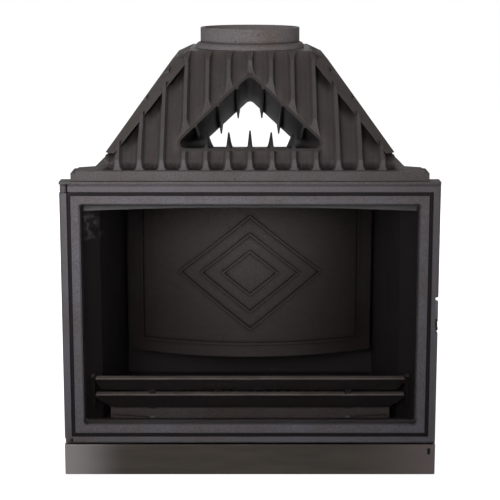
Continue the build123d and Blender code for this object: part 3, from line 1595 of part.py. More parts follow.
with BuildPart() as latch_pivot:
    pivot_end = latch_inner_x + latch_plate - pivot_setback
    with Locations(Plane((pivot_end, front + latch_depth, latch_z), z_dir=(1, 0, 0))):
        Cylinder(
            latch_pin_radius, latch_plate + latch_pin_bite - 2 * latch_side_gap,
            align=(Align.CENTER, Align.CENTER, Align.MAX),
        )
save(latch_pivot, "latch_pivot")

with BuildPart() as keeper_pin:
    with Locations(Plane((frame_half, front + latch_depth + keeper_reach, latch_z), z_dir=(1, 0, 0))):
        Cylinder(keeper_radius, frame_inset - keeper_setback, align=(Align.CENTER, Align.CENTER, Align.MIN))
        Cylinder(
            keeper_radius + keeper_collar, keeper_collar_height,
            align=(Align.CENTER, Align.CENTER, Align.MIN),
        )
save(keeper_pin, "keeper_pin")
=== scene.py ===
import math

import bmesh
import bpy
from bpy.props import FloatProperty, FloatVectorProperty, IntProperty, PointerProperty
from mathutils import Matrix, Vector


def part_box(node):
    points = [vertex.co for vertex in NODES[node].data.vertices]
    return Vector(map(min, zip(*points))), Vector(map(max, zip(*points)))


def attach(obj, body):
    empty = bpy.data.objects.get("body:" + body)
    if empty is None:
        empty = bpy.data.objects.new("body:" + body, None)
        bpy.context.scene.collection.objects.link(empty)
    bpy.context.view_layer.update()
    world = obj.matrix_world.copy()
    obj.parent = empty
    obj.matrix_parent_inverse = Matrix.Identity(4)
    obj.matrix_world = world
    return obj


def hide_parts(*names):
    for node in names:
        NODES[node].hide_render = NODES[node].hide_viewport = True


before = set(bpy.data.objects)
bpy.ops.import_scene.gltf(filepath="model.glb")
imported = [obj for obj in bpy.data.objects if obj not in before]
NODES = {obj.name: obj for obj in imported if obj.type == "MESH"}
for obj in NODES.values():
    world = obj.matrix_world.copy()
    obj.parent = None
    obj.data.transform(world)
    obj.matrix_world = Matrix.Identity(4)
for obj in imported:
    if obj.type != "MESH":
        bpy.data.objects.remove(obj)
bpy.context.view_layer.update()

bl_info = {
    "name": "Cast-iron fireplace insert",
    "version": (1, 0, 0),
    "blender": (4, 5, 0),
    "location": "3D View > Sidebar > Insert",
    "description": "Finishes, rope seals and studio for a glazed cast-iron fireplace insert",
    "category": "Object",
}

NOISE_RANGE = (0.3, 0.7)  # nearly all values of a noise texture lie between these


# ---------------------------------------------------------------- settings
class InsertFinish(bpy.types.PropertyGroup):
    """Colours and roughness of the insert's finishes."""

    iron_colour: FloatVectorProperty(
        name="Iron", description="Graphite heat paint on the outer castings",
        subtype="COLOR", size=3, min=0, max=1, default=(0.088, 0.083, 0.090),
    )
    door_colour: FloatVectorProperty(
        name="Door", description="Graphite heat paint on the door",
        subtype="COLOR", size=3, min=0, max=1, default=(0.0900, 0.0885, 0.1040),
    )
    iron_roughness: FloatProperty(
        name="Iron roughness", description="Roughness of the heat paint",
        subtype="FACTOR", min=0, max=1, default=0.68,
    )
    iron_gloss: FloatProperty(
        name="Iron gloss", description="Specular level of the castings that have none of their own",
        subtype="FACTOR", min=0, max=1, default=0.07,
    )
    # painted shade: the darker, browner colour that upward faces of the outer castings and sheets take
    upward_shade_colour: FloatVectorProperty(
        name="Dust", description="Warm bloom that settles on upward faces",
        subtype="COLOR", size=3, min=0, max=1, default=(0.060, 0.050, 0.047),
    )
    fire_iron_colour: FloatVectorProperty(
        name="Fire-side iron", description="Castings inside the fire chamber",
        subtype="COLOR", size=3, min=0, max=1, default=(0.0270, 0.0230, 0.0224),
    )
    ash_colour: FloatVectorProperty(
        name="Ash", description="Ash that lies on upward faces inside the fire chamber",
        subtype="COLOR", size=3, min=0, max=1, default=(0.34, 0.28, 0.25),
    )
    steel_colour: FloatVectorProperty(
        name="Steel", description="Steel of the pins; the latch, rod, sheet and bolts have darker shades",
        subtype="COLOR", size=3, min=0, max=1, default=(0.30, 0.29, 0.28),
    )
    strip_colour: FloatVectorProperty(
        name="Strip", description="Darkened steel of the strip in front of the ash drawer",
        subtype="COLOR", size=3, min=0, max=1, default=(0.036, 0.031, 0.027),
    )
    glass_tint: FloatVectorProperty(
        name="Glass", description="Tint of the ceramic glass",
        subtype="COLOR", size=3, min=0, max=1, default=(0.80, 0.80, 0.81),
    )
    glass_index: FloatProperty(
        name="Glass index", min=1.0, max=2.0, default=1.03,
        description="Refractive index of the pane, low so that the white surroundings leave no grain on it",
    )


class InsertSeals(bpy.types.PropertyGroup):
    """Sizes and colours of the rope and tape seals in the door."""

    rope_centre: FloatProperty(
        name="Rope inset", description="Door's outer edge to the middle of the rope",
        subtype="DISTANCE", unit="LENGTH", default=0.012,
    )
    rope_corner: FloatProperty(
        name="Rope corner", description="Radius of the rope's middle line at the corners",
        subtype="DISTANCE", unit="LENGTH", default=0.027,
    )
    tape_corner: FloatProperty(
        name="Tape corner", description="Radius of the tape's middle line at the corners",
        subtype="DISTANCE", unit="LENGTH", default=0.0045,
    )
    tape_width: FloatProperty(
        name="Tape width", description="Width of the tape between the pane and the door",
        subtype="DISTANCE", unit="LENGTH", default=0.008,
    )
    rope_strands: IntProperty(
        name="Strands", description="Strands seen round the rope", min=2, max=24, default=8,
    )
    rope_colour: FloatVectorProperty(
        name="Rope", description="Glass fibre of the braided rope",
        subtype="COLOR", size=3, min=0, max=1, default=(0.16, 0.155, 0.15),
    )
    tape_colour: FloatVectorProperty(
        name="Tape", description="Glass fibre of the woven tape",
        subtype="COLOR", size=3, min=0, max=1, default=(0.2, 0.195, 0.19),
    )


class InsertStudio(bpy.types.PropertyGroup):
    """Camera and lamps."""

    lens: FloatProperty(
        name="Lens", description="Focal length on a 36 mm sensor", unit="CAMERA", default=97.2,
    )
    camera_distance: FloatProperty(
        name="Distance", description="Camera to the middle of the insert, level with the floor",
        subtype="DISTANCE", unit="LENGTH", default=2.657,
    )
    camera_height: FloatProperty(
        name="Height", description="Camera above the floor",
        subtype="DISTANCE", unit="LENGTH", default=0.9599,
    )
    camera_tilt: FloatProperty(
        name="Tilt", description="How far the camera looks down",
        subtype="ANGLE", unit="ROTATION", default=math.radians(9.741),
    )
    camera_shift: FloatProperty(
        name="Shift", description="Vertical shift of the frame", default=-0.1132,
    )
    key_power: FloatProperty(
        name="Key", description="Power of the key lamp", unit="POWER", min=0, default=4.7,
    )
    fill_power: FloatProperty(
        name="Fill", description="Power of the fill lamp", unit="POWER", min=0, default=5.0,
    )
    top_power: FloatProperty(
        name="Top", description="Power of the top lamp", unit="POWER", min=0, default=3.0,
    )
    side_power: FloatProperty(
        name="Sides", description="Power of each side and rear lamp", unit="POWER", min=0, default=16.0,
    )
    sky: FloatProperty(
        name="Sky", description="Even light from all round", subtype="FACTOR", min=0, max=1, default=0.06,
    )


# ---------------------------------------------------------------- shader building
def put(tree, kind, inputs=None, **settings):
    """Adds one node: settings are its own properties, inputs are values or sockets to link."""
    node = tree.nodes.new(kind)
    for key, value in settings.items():
        setattr(node, key, value)
    for key, value in (inputs or {}).items():
        if isinstance(value, bpy.types.NodeSocket):
            tree.links.new(value, node.inputs[key])
        else:
            node.inputs[key].default_value = value
    return node


def maths(tree, operation, first, second=0.0, clamp=False):
    """One Math node's result."""
    return put(tree, "ShaderNodeMath", {0: first, 1: second}, operation=operation, use_clamp=clamp).outputs[0]


def vector_maths(tree, operation, first, second):
    """One Vector Math node's vector."""
    return put(tree, "ShaderNodeVectorMath", {0: first, 1: second}, operation=operation).outputs[0]


def parts_of(tree, vector):
    """The X, Y and Z of a vector."""
    return put(tree, "ShaderNodeSeparateXYZ", {0: vector}).outputs


def object_point(tree):
    """Where a point lies on the piece, in metres."""
    return put(tree, "ShaderNodeTexCoord").outputs["Object"]


def face_normal(tree):
    """The direction that a face looks in."""
    return put(tree, "ShaderNodeNewGeometry").outputs["Normal"]


def noise(tree, place, scale, detail, **inputs):
    """A noise texture's value; the node's other inputs go by their own names."""
    values = {"Vector": place, "Scale": scale, "Detail": detail, **inputs}
    return put(tree, "ShaderNodeTexNoise", values).outputs[0]


def spread(tree, value, low, high, new_low=0.0, new_high=1.0, **settings):
    """Maps a value from one range to another, which is 0 to 1 unless it is given."""
    node = put(tree, "ShaderNodeMapRange", {
        "Value": value, "From Min": low, "From Max": high, "To Min": new_low, "To Max": new_high,
    }, **settings)
    return node.outputs["Result"]


def blend_colour(tree, share, first, second, mode="MIX"):
    """Mixes two colours."""
    node = put(tree, "ShaderNodeMix", data_type="RGBA", blend_type=mode)
    for index, value in ((0, share), (6, first), (7, second)):
        if isinstance(value, bpy.types.NodeSocket):
            tree.links.new(value, node.inputs[index])
        elif index == 0:
            node.inputs[0].default_value = value
        else:
            node.inputs[index].default_value = (*value[:3], 1.0)
    return node.outputs[2]


def stain(tree, base, mask, strength, colour):
    """Lays a colour over the base where the mask shows, by no more than the strength."""
    return blend_colour(tree, maths(tree, "MULTIPLY", mask, strength), base, colour)


def emboss(tree, shader, height, strength, distance, edge_radius=None):
    """Gives a shader its bump, and softens its edges where a radius is given."""
    values = {"Height": height, "Strength": strength, "Distance": distance}
    if edge_radius:
        values["Normal"] = put(tree, "ShaderNodeBevel", {"Radius": edge_radius}, samples=4).outputs[0]
    tree.links.new(put(tree, "ShaderNodeBump", values).outputs[0], shader.inputs["Normal"])


def new_group(name, inputs, outputs):
    """Empty shader group with float inputs and the named outputs; returns the tree and its two ends."""
    tree = bpy.data.node_groups.new(name, "ShaderNodeTree")
    for label, value in inputs.items():
        socket = tree.interface.new_socket(label, in_out="INPUT", socket_type="NodeSocketFloat")
        socket.default_value = value
    for label in outputs:
        tree.interface.new_socket(label, in_out="OUTPUT", socket_type="NodeSocketFloat")
    return tree, put(tree, "NodeGroupInput"), put(tree, "NodeGroupOutput")


def use(tree, name, **inputs):
    """Places a shader group in a material; input names are written with _ for a space."""
    node = put(tree, "ShaderNodeGroup", node_tree=bpy.data.node_groups[name])
    for key, value in inputs.items():
        node.inputs[key.replace("_", " ")].default_value = value
    return node.outputs


def make_cast_group():
    """Sand-cast skin: fine grain, soft clouds and scattered pits."""
    tree, start, end = new_group(
        "cast_skin", {"Grain Scale": 520.0, "Cloud Scale": 9.0, "Pit Scale": 70.0, "Pit Share": 0.06},
        ("Height", "Cloud", "Pit", "Grain"),
    )
    lump_scale, fine_height, pit_depth, pit_rim, pit_floor = 160.0, 0.6, 1.4, 0.16, 0.06
    place = object_point(tree)
    fine = noise(tree, place, start.outputs["Grain Scale"], 3.0)
    lumps = noise(tree, place, lump_scale, 2.0)
    cloud = noise(tree, place, start.outputs["Cloud Scale"], 5.0, Roughness=0.6)
    cells = put(tree, "ShaderNodeTexVoronoi", {"Vector": place, "Scale": start.outputs["Pit Scale"]})
    chosen = put(tree, "ShaderNodeSeparateColor", {"Color": cells.outputs["Color"]}).outputs["Red"]
    rare = maths(tree, "LESS_THAN", chosen, start.outputs["Pit Share"])
    round_pit = spread(tree, cells.outputs["Distance"], pit_rim, pit_floor)
    pit = maths(tree, "MULTIPLY", rare, round_pit, clamp=True)
    height = maths(tree, "ADD", maths(tree, "MULTIPLY", fine, fine_height), lumps)
    height = maths(tree, "SUBTRACT", height, maths(tree, "MULTIPLY", pit, pit_depth))
    tree.links.new(height, end.inputs["Height"])
    tree.links.new(spread(tree, cloud, *NOISE_RANGE), end.inputs["Cloud"])
    tree.links.new(pit, end.inputs["Pit"])
    tree.links.new(spread(tree, fine, *NOISE_RANGE), end.inputs["Grain"])


def make_edge_wear_and_highlight_group():
    """Mask of the edges, where handling and the foundry's wheel have polished them, and where the colour is
    lightened as a painted highlight.
    """
    tree, start, end = new_group("edge_wear_and_highlight", {"Width": 0.0012, "Breakup": 0.5}, ("Mask",))
    soft = put(tree, "ShaderNodeBevel", {"Radius": start.outputs["Width"]}, samples=4)
    same = put(tree, "ShaderNodeVectorMath", {0: soft.outputs[0], 1: face_normal(tree)},
               operation="DOT_PRODUCT").outputs["Value"]
    flat_at, edge_at = 0.995, 0.85
    edge = spread(tree, same, flat_at, edge_at)
    patch = noise(tree, object_point(tree), 60.0, 3.0)
    patch = maths(tree, "SUBTRACT", 1.0, maths(tree, "MULTIPLY", patch, start.outputs["Breakup"]))
    tree.links.new(maths(tree, "MULTIPLY", edge, patch, clamp=True), end.inputs["Mask"])


def make_cavity_shade_group():
    """Mask of grooves, roots and corners, where paint stays dull and where the colour is darkened as painted
    shade.
    """
    tree, start, end = new_group("cavity_shade", {"Reach": 0.006, "Full At": 0.55}, ("Mask",))
    sky_seen = put(tree, "ShaderNodeAmbientOcclusion", {"Distance": start.outputs["Reach"]},
                   samples=6, only_local=True).outputs["AO"]
    starts_at = 0.97
    tree.links.new(spread(tree, sky_seen, starts_at, start.outputs["Full At"]), end.inputs["Mask"])


def make_upward_ash_and_shade_group():
    """Mask of the faces that look up, broken up by noise: ash on the fire-side castings, painted shade on the
    others.
    """
    tree, start, end = new_group("upward_ash_and_shade", {"From": 0.15, "To": 0.6}, ("Mask",))
    upward = parts_of(tree, face_normal(tree))["Z"]
    upward = spread(tree, upward, start.outputs["From"], start.outputs["To"])
    thinnest = 0.6
    patch = spread(tree, noise(tree, object_point(tree), 25.0, 4.0), 0.25, 0.75, thinnest, 1.0)
    tree.links.new(maths(tree, "MULTIPLY", upward, patch, clamp=True), end.inputs["Mask"])


def chamber_box():
    """Corners of the fire chamber, between its walls."""
    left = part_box("side_wall_left")
    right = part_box("side_wall_right")
    low = Vector(((left[0].x + left[1].x) / 2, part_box("front_frame")[1].y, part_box("hearth_plate")[1].z))
    high = Vector(((right[0].x + right[1].x) / 2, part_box("back_wall")[0].y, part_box("top_plate")[0].z))
    return low, high


def make_fire_group():
    """Mask of the faces that look into the fire chamber, from their place and normal."""
    tree, start, end = new_group("fire_side", {"From": 0.35, "To": 0.6}, ("Mask",))
    low, high = chamber_box()
    away = vector_maths(tree, "SUBTRACT", object_point(tree), (low + high) / 2)
    away = vector_maths(tree, "DIVIDE", away, (high - low) / 2)
    # the fifth power leaves only the axis of the wall that a face belongs to
    square = vector_maths(tree, "MULTIPLY", away, away)
    fourth = vector_maths(tree, "MULTIPLY", square, square)
    fifth = vector_maths(tree, "MULTIPLY", fourth, away)
    outward = put(tree, "ShaderNodeVectorMath", {0: fifth, 1: face_normal(tree)},
                  operation="DOT_PRODUCT").outputs["Value"]
    inward = maths(tree, "MULTIPLY", outward, -1.0)
    mask = spread(tree, inward, start.outputs["From"], start.outputs["To"])
    tree.links.new(mask, end.inputs["Mask"])


def make_brush_group():
    """Brush lines along X, and the height that goes with them."""
    tree, start, end = new_group("brush_lines", {"Across": 2600.0, "Along": 14.0}, ("Line", "Height"))
    scale = put(tree, "ShaderNodeCombineXYZ", {
        "X": start.outputs["Along"], "Y": start.outputs["Across"], "Z": start.outputs["Across"],
    })
    line = noise(tree, vector_maths(tree, "MULTIPLY", object_point(tree), scale.outputs[0]), 1.0, 3.0)
    tree.links.new(spread(tree, line, *NOISE_RANGE), end.inputs["Line"])
    tree.links.new(line, end.inputs["Height"])


def make_weave_group():
    """Crossing strands on a swept rope or tape, from its UV map: U along it, V round it."""
    tree, start, end = new_group("rope_weave", {"Along": 1.0, "Round": 8.0}, ("Height", "Gap"))
    flat = parts_of(tree, put(tree, "ShaderNodeTexCoord").outputs["UV"])
    along = maths(tree, "MULTIPLY", flat["X"], start.outputs["Along"])
    around = maths(tree, "MULTIPLY", flat["Y"], start.outputs["Round"])
    waves = []
    for operation in ("ADD", "SUBTRACT"):
        turn = maths(tree, "MULTIPLY", maths(tree, operation, along, around), 2 * math.pi)
        waves.append(maths(tree, "ABSOLUTE", maths(tree, "SINE", turn)))
    height = maths(tree, "MAXIMUM", *waves)
    tree.links.new(height, end.inputs["Height"])
    tree.links.new(spread(tree, height, 0.75, 0.95, 1.0, 0.0), end.inputs["Gap"])


def new_material(name):
    """Material with its Principled shader."""
    material = bpy.data.materials.new(name)
    material.use_nodes = True
    return material, material.node_tree, material.node_tree.nodes["Principled BSDF"]


def warm_shade(colour, share):
    """A darker and browner shade of a colour."""
    return Vector((colour[0] * 1.15, colour[1], colour[2] * 0.85)) * share


def cast_iron(name, colour, roughness, ash_and_shade, rub_and_highlight, pits=0.06, relief=0.00035, sooty=False, ash_and_shade_colour=None,
              painted_light_share=0.0, reach=0.006, full_at=0.55, gloss=None):
    """Cast iron: sand grain, clouds, pits, ash on top in the fire chamber and painted shade on top outside,
    and edges lightened by wear and a painted highlight.

    sooty blackens its fire side; ash_and_shade_colour is the upward faces' colour, the given ash, and without
    it a darker, browner painted shade; painted_light_share lightens the middle as a painted pool of light;
    reach is the size of the grooves that are darkened as painted shade, full_at how open they may be, and
    gloss replaces the usual specular level.
    """
    finish = bpy.context.scene.insert_finish
    material, tree, shader = new_material(name)
    skin = use(tree, "cast_skin", Pit_Share=pits)
    worn_and_highlit_edges = use(tree, "edge_wear_and_highlight", Width=0.0011, Breakup=0.8)["Mask"]
    upward_ash_and_shade_mask = use(tree, "upward_ash_and_shade")["Mask"]
    colour = Vector(colour)
    dark_cloud, pale_cloud = warm_shade(colour, 0.84), colour * 1.17
    worn_edge_highlight, pit_floor, groove = colour * 2.1, colour * 0.3, warm_shade(colour, 0.1)
    base = blend_colour(tree, skin["Cloud"], dark_cloud, pale_cloud)
    if painted_light_share:
        # painted pool of light: palest on the middle line and high up, in metres
        pale_to, palest_to, foot, top = 0.21, 0.03, 0.2, 0.5
        place = parts_of(tree, object_point(tree))
        painted_light_pool = spread(tree, maths(tree, "ABSOLUTE", place["X"]), pale_to, palest_to)
        painted_light_pool = maths(tree, "MULTIPLY", painted_light_pool, spread(tree, place["Z"], foot, top, 0.5, 1.0))
        base = blend_colour(tree, painted_light_pool, base, colour * painted_light_share)
    grain = spread(tree, skin["Grain"], 0.0, 1.0, 0.7, 1.3)
    base = blend_colour(tree, 1.0, base, grain, mode="MULTIPLY")
    # upward faces take the ash where it is given, and otherwise a darker, browner painted shade
    base = stain(tree, base, upward_ash_and_shade_mask, ash_and_shade, ash_and_shade_colour or finish.upward_shade_colour)
    # edges lightened: wear, and a painted highlight along them
    base = stain(tree, base, worn_and_highlit_edges, rub_and_highlight, worn_edge_highlight)
    base = stain(tree, base, skin["Pit"], 0.75, pit_floor)
    # painted shade: grooves, roots and corners are darkened by ambient occlusion, and their paint turns
    # duller
    shaded_hollow = use(tree, "cavity_shade", Reach=reach, Full_At=full_at)["Mask"]
    base = stain(tree, base, shaded_hollow, 0.97, groove)
    if sooty:
        base = blend_colour(tree, use(tree, "fire_side")["Mask"], base, finish.fire_iron_colour)
    tree.links.new(base, shader.inputs["Base Color"])
    shader.inputs["Specular IOR Level"].default_value = gloss or finish.iron_gloss
    rough = spread(tree, skin["Cloud"], 0.0, 1.0, roughness - 0.05, roughness + 0.07)
    rough = maths(tree, "SUBTRACT", rough, maths(tree, "MULTIPLY", worn_and_highlit_edges, 0.12))
    rough = maths(tree, "ADD", rough, maths(tree, "MULTIPLY", shaded_hollow, 0.25), clamp=True)
    tree.links.new(rough, shader.inputs["Roughness"])
    emboss(tree, shader, skin["Height"], 0.7, relief, edge_radius=0.0007)
    return material


def brushed_steel(name, colour, roughness, painted_reflections=()):
    """Brushed steel, its lines along X. Each painted reflection is a lighter band that fades along X: it
    gives its bright end's X, dull end's X and colour.
    """
    material, tree, shader = new_material(name)
    lines = use(tree, "brush_lines")
    skin = use(tree, "cast_skin", Cloud_Scale=5.0)
    colour = Vector(colour)
    dark_line, pale_line, dull_patch, pale_smear = colour * 0.88, colour * 1.12, colour * 0.75, colour * 1.5
    base = blend_colour(tree, lines["Line"], dark_line, pale_line)
    base = stain(tree, base, skin["Cloud"], 0.25, dull_patch)
    smear = use(tree, "brush_lines", Along=10.0, Across=70.0)["Line"]
    base = stain(tree, base, smear, 0.45, pale_smear)
    x = parts_of(tree, object_point(tree))["X"]
    # painted reflection: each band lightens the steel from its bright end to its dull end
    for bright_end, dull_end, reflection_colour in painted_reflections:
        share = spread(tree, x, bright_end, dull_end, 1.0, 0.0, interpolation_type="SMOOTHSTEP")
        streak = spread(tree, lines["Line"], 0.0, 1.0, 0.85, 1.0)
        base = stain(tree, base, share, streak, reflection_colour)
    tree.links.new(base, shader.inputs["Base Color"])
    shader.inputs["Metallic"].default_value = 1.0
    rough = spread(tree, lines["Line"], 0.0, 1.0, roughness - 0.06, roughness + 0.08)
    tree.links.new(rough, shader.inputs["Roughness"])
    emboss(tree, shader, lines["Height"], 0.25, 0.00008, edge_radius=0.0004)
    return material


def sheet_steel(name, colour, roughness, metallic):
    """Plain or painted sheet with a faint rolled grain."""
    material, tree, shader = new_material(name)
    skin = use(tree, "cast_skin", Grain_Scale=1500.0, Cloud_Scale=7.0, Pit_Share=0.0)
    worn_and_highlit_edges = use(tree, "edge_wear_and_highlight", Width=0.0008, Breakup=0.9)["Mask"]
    upward_ash_and_shade_mask = use(tree, "upward_ash_and_shade")["Mask"]
    colour = Vector(colour)
    dark_cloud, pale_cloud, worn_edge_highlight = colour * 0.88, colour * 1.1, colour * 1.9
    base = blend_colour(tree, skin["Cloud"], dark_cloud, pale_cloud)
    # painted shade: upward faces darken to a browner shade
    base = stain(tree, base, upward_ash_and_shade_mask, 0.3, bpy.context.scene.insert_finish.upward_shade_colour)
    # edges lightened: wear, and a painted highlight along them
    base = stain(tree, base, worn_and_highlit_edges, 0.5, worn_edge_highlight)
    tree.links.new(base, shader.inputs["Base Color"])
    shader.inputs["Metallic"].default_value = metallic
    rough = spread(tree, skin["Cloud"], 0.0, 1.0, roughness - 0.05, roughness + 0.08)
    tree.links.new(rough, shader.inputs["Roughness"])
    emboss(tree, shader, skin["Height"], 0.3, 0.00012)
    return material


def latch_steel(name, colour):
    """Dull steel lever with a blackened lower half."""
    material, tree, shader = new_material(name)
    skin = use(tree, "cast_skin", Cloud_Scale=60.0)
    worn_and_highlit_edges = use(tree, "edge_wear_and_highlight", Width=0.0009, Breakup=0.4)["Mask"]
    low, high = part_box("latch_lever")
    tall = high.z - low.z
    steel_from, black_to = low.z + 0.42 * tall, low.z + 0.40 * tall
    black = spread(tree, parts_of(tree, object_point(tree))["Z"], steel_from, black_to)
    colour = Vector(colour) * 0.3
    dark_cloud, pale_cloud, blackened, worn_edge_highlight = colour * 0.7, colour * 1.2, colour * 0.06, colour * 2.6
    base = blend_colour(tree, skin["Cloud"], dark_cloud, pale_cloud)
    base = blend_colour(tree, black, base, blackened)
    # edges lightened: wear, and a painted highlight along them
    base = stain(tree, base, worn_and_highlit_edges, 0.6, worn_edge_highlight)
    tree.links.new(base, shader.inputs["Base Color"])
    shader.inputs["Metallic"].default_value = 0.7
    shader.inputs["Roughness"].default_value = 0.45
    emboss(tree, shader, skin["Height"], 0.3, 0.00015)
    return material


def woven_fibre(name, colour, along, around):
    """Glass-fibre rope or tape: strands with dark gaps between them."""
    material, tree, shader = new_material(name)
    weave = use(tree, "rope_weave", Along=along, Round=around)
    skin = use(tree, "cast_skin", Grain_Scale=2500.0)
    colour = Vector(colour)
    dark_strand, pale_strand, gap_shade = colour * 0.85, colour * 1.15, colour * 0.35
    base = blend_colour(tree, skin["Cloud"], dark_strand, pale_strand)
    base = stain(tree, base, weave["Gap"], 0.8, gap_shade)
    tree.links.new(base, shader.inputs["Base Color"])
    tree.links.new(spread(tree, weave["Height"], 0.5, 1.0, 0.95, 0.75), shader.inputs["Roughness"])
    shader.inputs["Sheen Weight"].default_value = 0.2
    emboss(tree, shader, weave["Height"], 0.8, 0.0008)
    return material


def clear_glass(name):
    """Ceramic glass with faint wiping and finger marks; lamps and soft light shine through it."""
    finish = bpy.context.scene.insert_finish
    material, tree, shader = new_material(name)
    shader.inputs["Base Color"].default_value = (*finish.glass_tint, 1.0)
    shader.inputs["Transmission Weight"].default_value = 1.0
    shader.inputs["Metallic"].default_value = 0.0
    shader.inputs["IOR"].default_value = finish.glass_index
    place = object_point(tree)
    wiped = noise(tree, place, 14.0, 4.0, Distortion=0.6)
    tree.links.new(spread(tree, wiped, 0.5, 0.8, 0.0, 0.02), shader.inputs["Roughness"])
    # finger marks near the top left corner: how far in and down they are, and how far they spread
    marks_in, marks_down, marks_reach, marks_core = 0.028, 0.05, 0.035, 0.01
    low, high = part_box("door_glass")
    corner = vector_maths(tree, "SUBTRACT", place, (low.x + marks_in, low.y, high.z - marks_down))
    apart = put(tree, "ShaderNodeVectorMath", {0: corner}, operation="LENGTH").outputs["Value"]
    near = spread(tree, apart, marks_reach, marks_core)
    spots = spread(tree, noise(tree, place, 75.0, 3.0), 0.52, 0.75, 0.0, 0.04)
    smudge = maths(tree, "MULTIPLY", near, spots)
    film = put(tree, "ShaderNodeBsdfDiffuse", {"Color": (0.8, 0.8, 0.82, 1.0)}).outputs[0]
    pane = put(tree, "ShaderNodeMixShader", {0: smudge, 1: shader.outputs[0], 2: film}).outputs[0]
    path = put(tree, "ShaderNodeLightPath").outputs
    through = maths(tree, "MAXIMUM", path["Is Shadow Ray"], path["Is Diffuse Ray"])
    clear = put(tree, "ShaderNodeBsdfTransparent", {"Color": (*finish.glass_tint, 1.0)})
    both = put(tree, "ShaderNodeMixShader", {0: through, 1: pane, 2: clear.outputs[0]})
    tree.links.new(both.outputs[0], tree.nodes["Material Output"].inputs["Surface"])
    return material


def paint(material, *names):
    """Gives CAD nodes one material."""
    for name in names:
        NODES[name].data.materials.clear()
        NODES[name].data.materials.append(material)


def dress(bm, name, material, body):
    """Turns a bmesh into a finished piece that rides on a body."""
    mesh = bpy.data.meshes.new(name)
    bm.to_mesh(mesh)
    bm.free()
    mesh.materials.append(material)
    piece = bpy.data.objects.new(name, mesh)
    bpy.context.scene.collection.objects.link(piece)
    for polygon in mesh.polygons:
        polygon.use_smooth = True
    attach(piece, body)
    return piece


# ---------------------------------------------------------------- finishes
class INSERT_OT_shared_effects(bpy.types.Operator):
    """Builds the effects that finishes share: skin, edges with a painted highlight, hollows with painted
    shade, upward faces with ash and painted shade, fire side, brush lines, weave
    """

    bl_idname = "insert.shared_effects"
    bl_label = "Shared effects"

    def execute(self, context):
        make_cast_group()
        make_edge_wear_and_highlight_group()
        make_cavity_shade_group()
        make_upward_ash_and_shade_group()
        make_fire_group()
        make_brush_group()
        make_weave_group()
        return {"FINISHED"}


class INSERT_OT_outer_iron(bpy.types.Operator):
    """Paints the outer castings with graphite heat paint"""

    bl_idname = "insert.outer_iron"
    bl_label = "Outer castings"

    def execute(self, context):
        finish = context.scene.insert_finish
        colour = Vector(finish.iron_colour)
        rough = finish.iron_roughness
        hood = cast_iron("graphite_heat_paint", colour, rough, ash_and_shade=0.8, rub_and_highlight=0.45, relief=0.0005,
                         reach=0.02, gloss=0.03)
        paint(hood, "hood")
        # painted shade: the tunnel's castings get a darker copy of the outer iron paint
        shaded_tunnel = cast_iron("tunnel_shade_iron", colour * 0.38, rough, ash_and_shade=0.4, rub_and_highlight=0.9, relief=0.0002)
        paint(shaded_tunnel, "tunnel_floor", "tunnel_roof_left", "tunnel_roof_right")
        walls = cast_iron("wall_iron", colour, rough, ash_and_shade=0.75, rub_and_highlight=0.45, relief=0.00012, sooty=True)
        paint(walls, "top_plate", "hearth_plate", "front_frame", "side_wall_left", "side_wall_right",
              "back_wall")
        # painted highlight: the collar gets a lighter copy of the outer iron paint
        lit_collar = cast_iron("collar_highlight_iron", colour * 1.5, rough, ash_and_shade=0.3, rub_and_highlight=0.5, pits=0.16, gloss=0.02)
        paint(lit_collar, "flue_collar")
        door = cast_iron("door_iron", finish.door_colour, rough - 0.2, ash_and_shade=0.4, rub_and_highlight=0.8, pits=0.0,
                         relief=0.0003, reach=0.016, full_at=0.86, gloss=0.12)
        paint(door, "door_frame")
        return {"FINISHED"}


class INSERT_OT_fire_iron(bpy.types.Operator):
    """Darkens the castings that face the fire"""

    bl_idname = "insert.fire_iron"
    bl_label = "Fire-side castings"

    def execute(self, context):
        finish = context.scene.insert_finish
        colour = Vector(finish.fire_iron_colour)
        ash = finish.ash_colour
        bars = cast_iron("fire_side_iron", colour * 0.36, 0.66, ash_and_shade=1.0, rub_and_highlight=1.0, ash_and_shade_colour=ash)
        paint(bars, "log_bar_upper", "log_bar_lower")
        grate = cast_iron("grate_iron", colour, 0.7, ash_and_shade=0.1, rub_and_highlight=0.2, ash_and_shade_colour=ash)
        paint(grate, "bar_supports", "fire_grate", "smoke_baffle")
        # painted shadow: the bar end plates get a darker copy of the fire-side iron
        shadowed_brackets = cast_iron("bracket_shadow_iron", colour * 0.36, 0.7, ash_and_shade=0.3, rub_and_highlight=0.2, ash_and_shade_colour=ash)
        paint(shadowed_brackets, "bar_end_plates")
        fence = cast_iron("fence_iron", colour * 3.3, 0.66, ash_and_shade=0.6, rub_and_highlight=0.5, ash_and_shade_colour=ash)
        paint(fence, "ash_fence")
        # painted pool of light on the middle and upper part of the fire back
        liner = cast_iron("fire_back_iron", colour, 0.66, ash_and_shade=0.6, rub_and_highlight=0.5, ash_and_shade_colour=ash, painted_light_share=4.6,
                          relief=0.00015, reach=0.012)
        paint(liner, "back_liner")
        return {"FINISHED"}


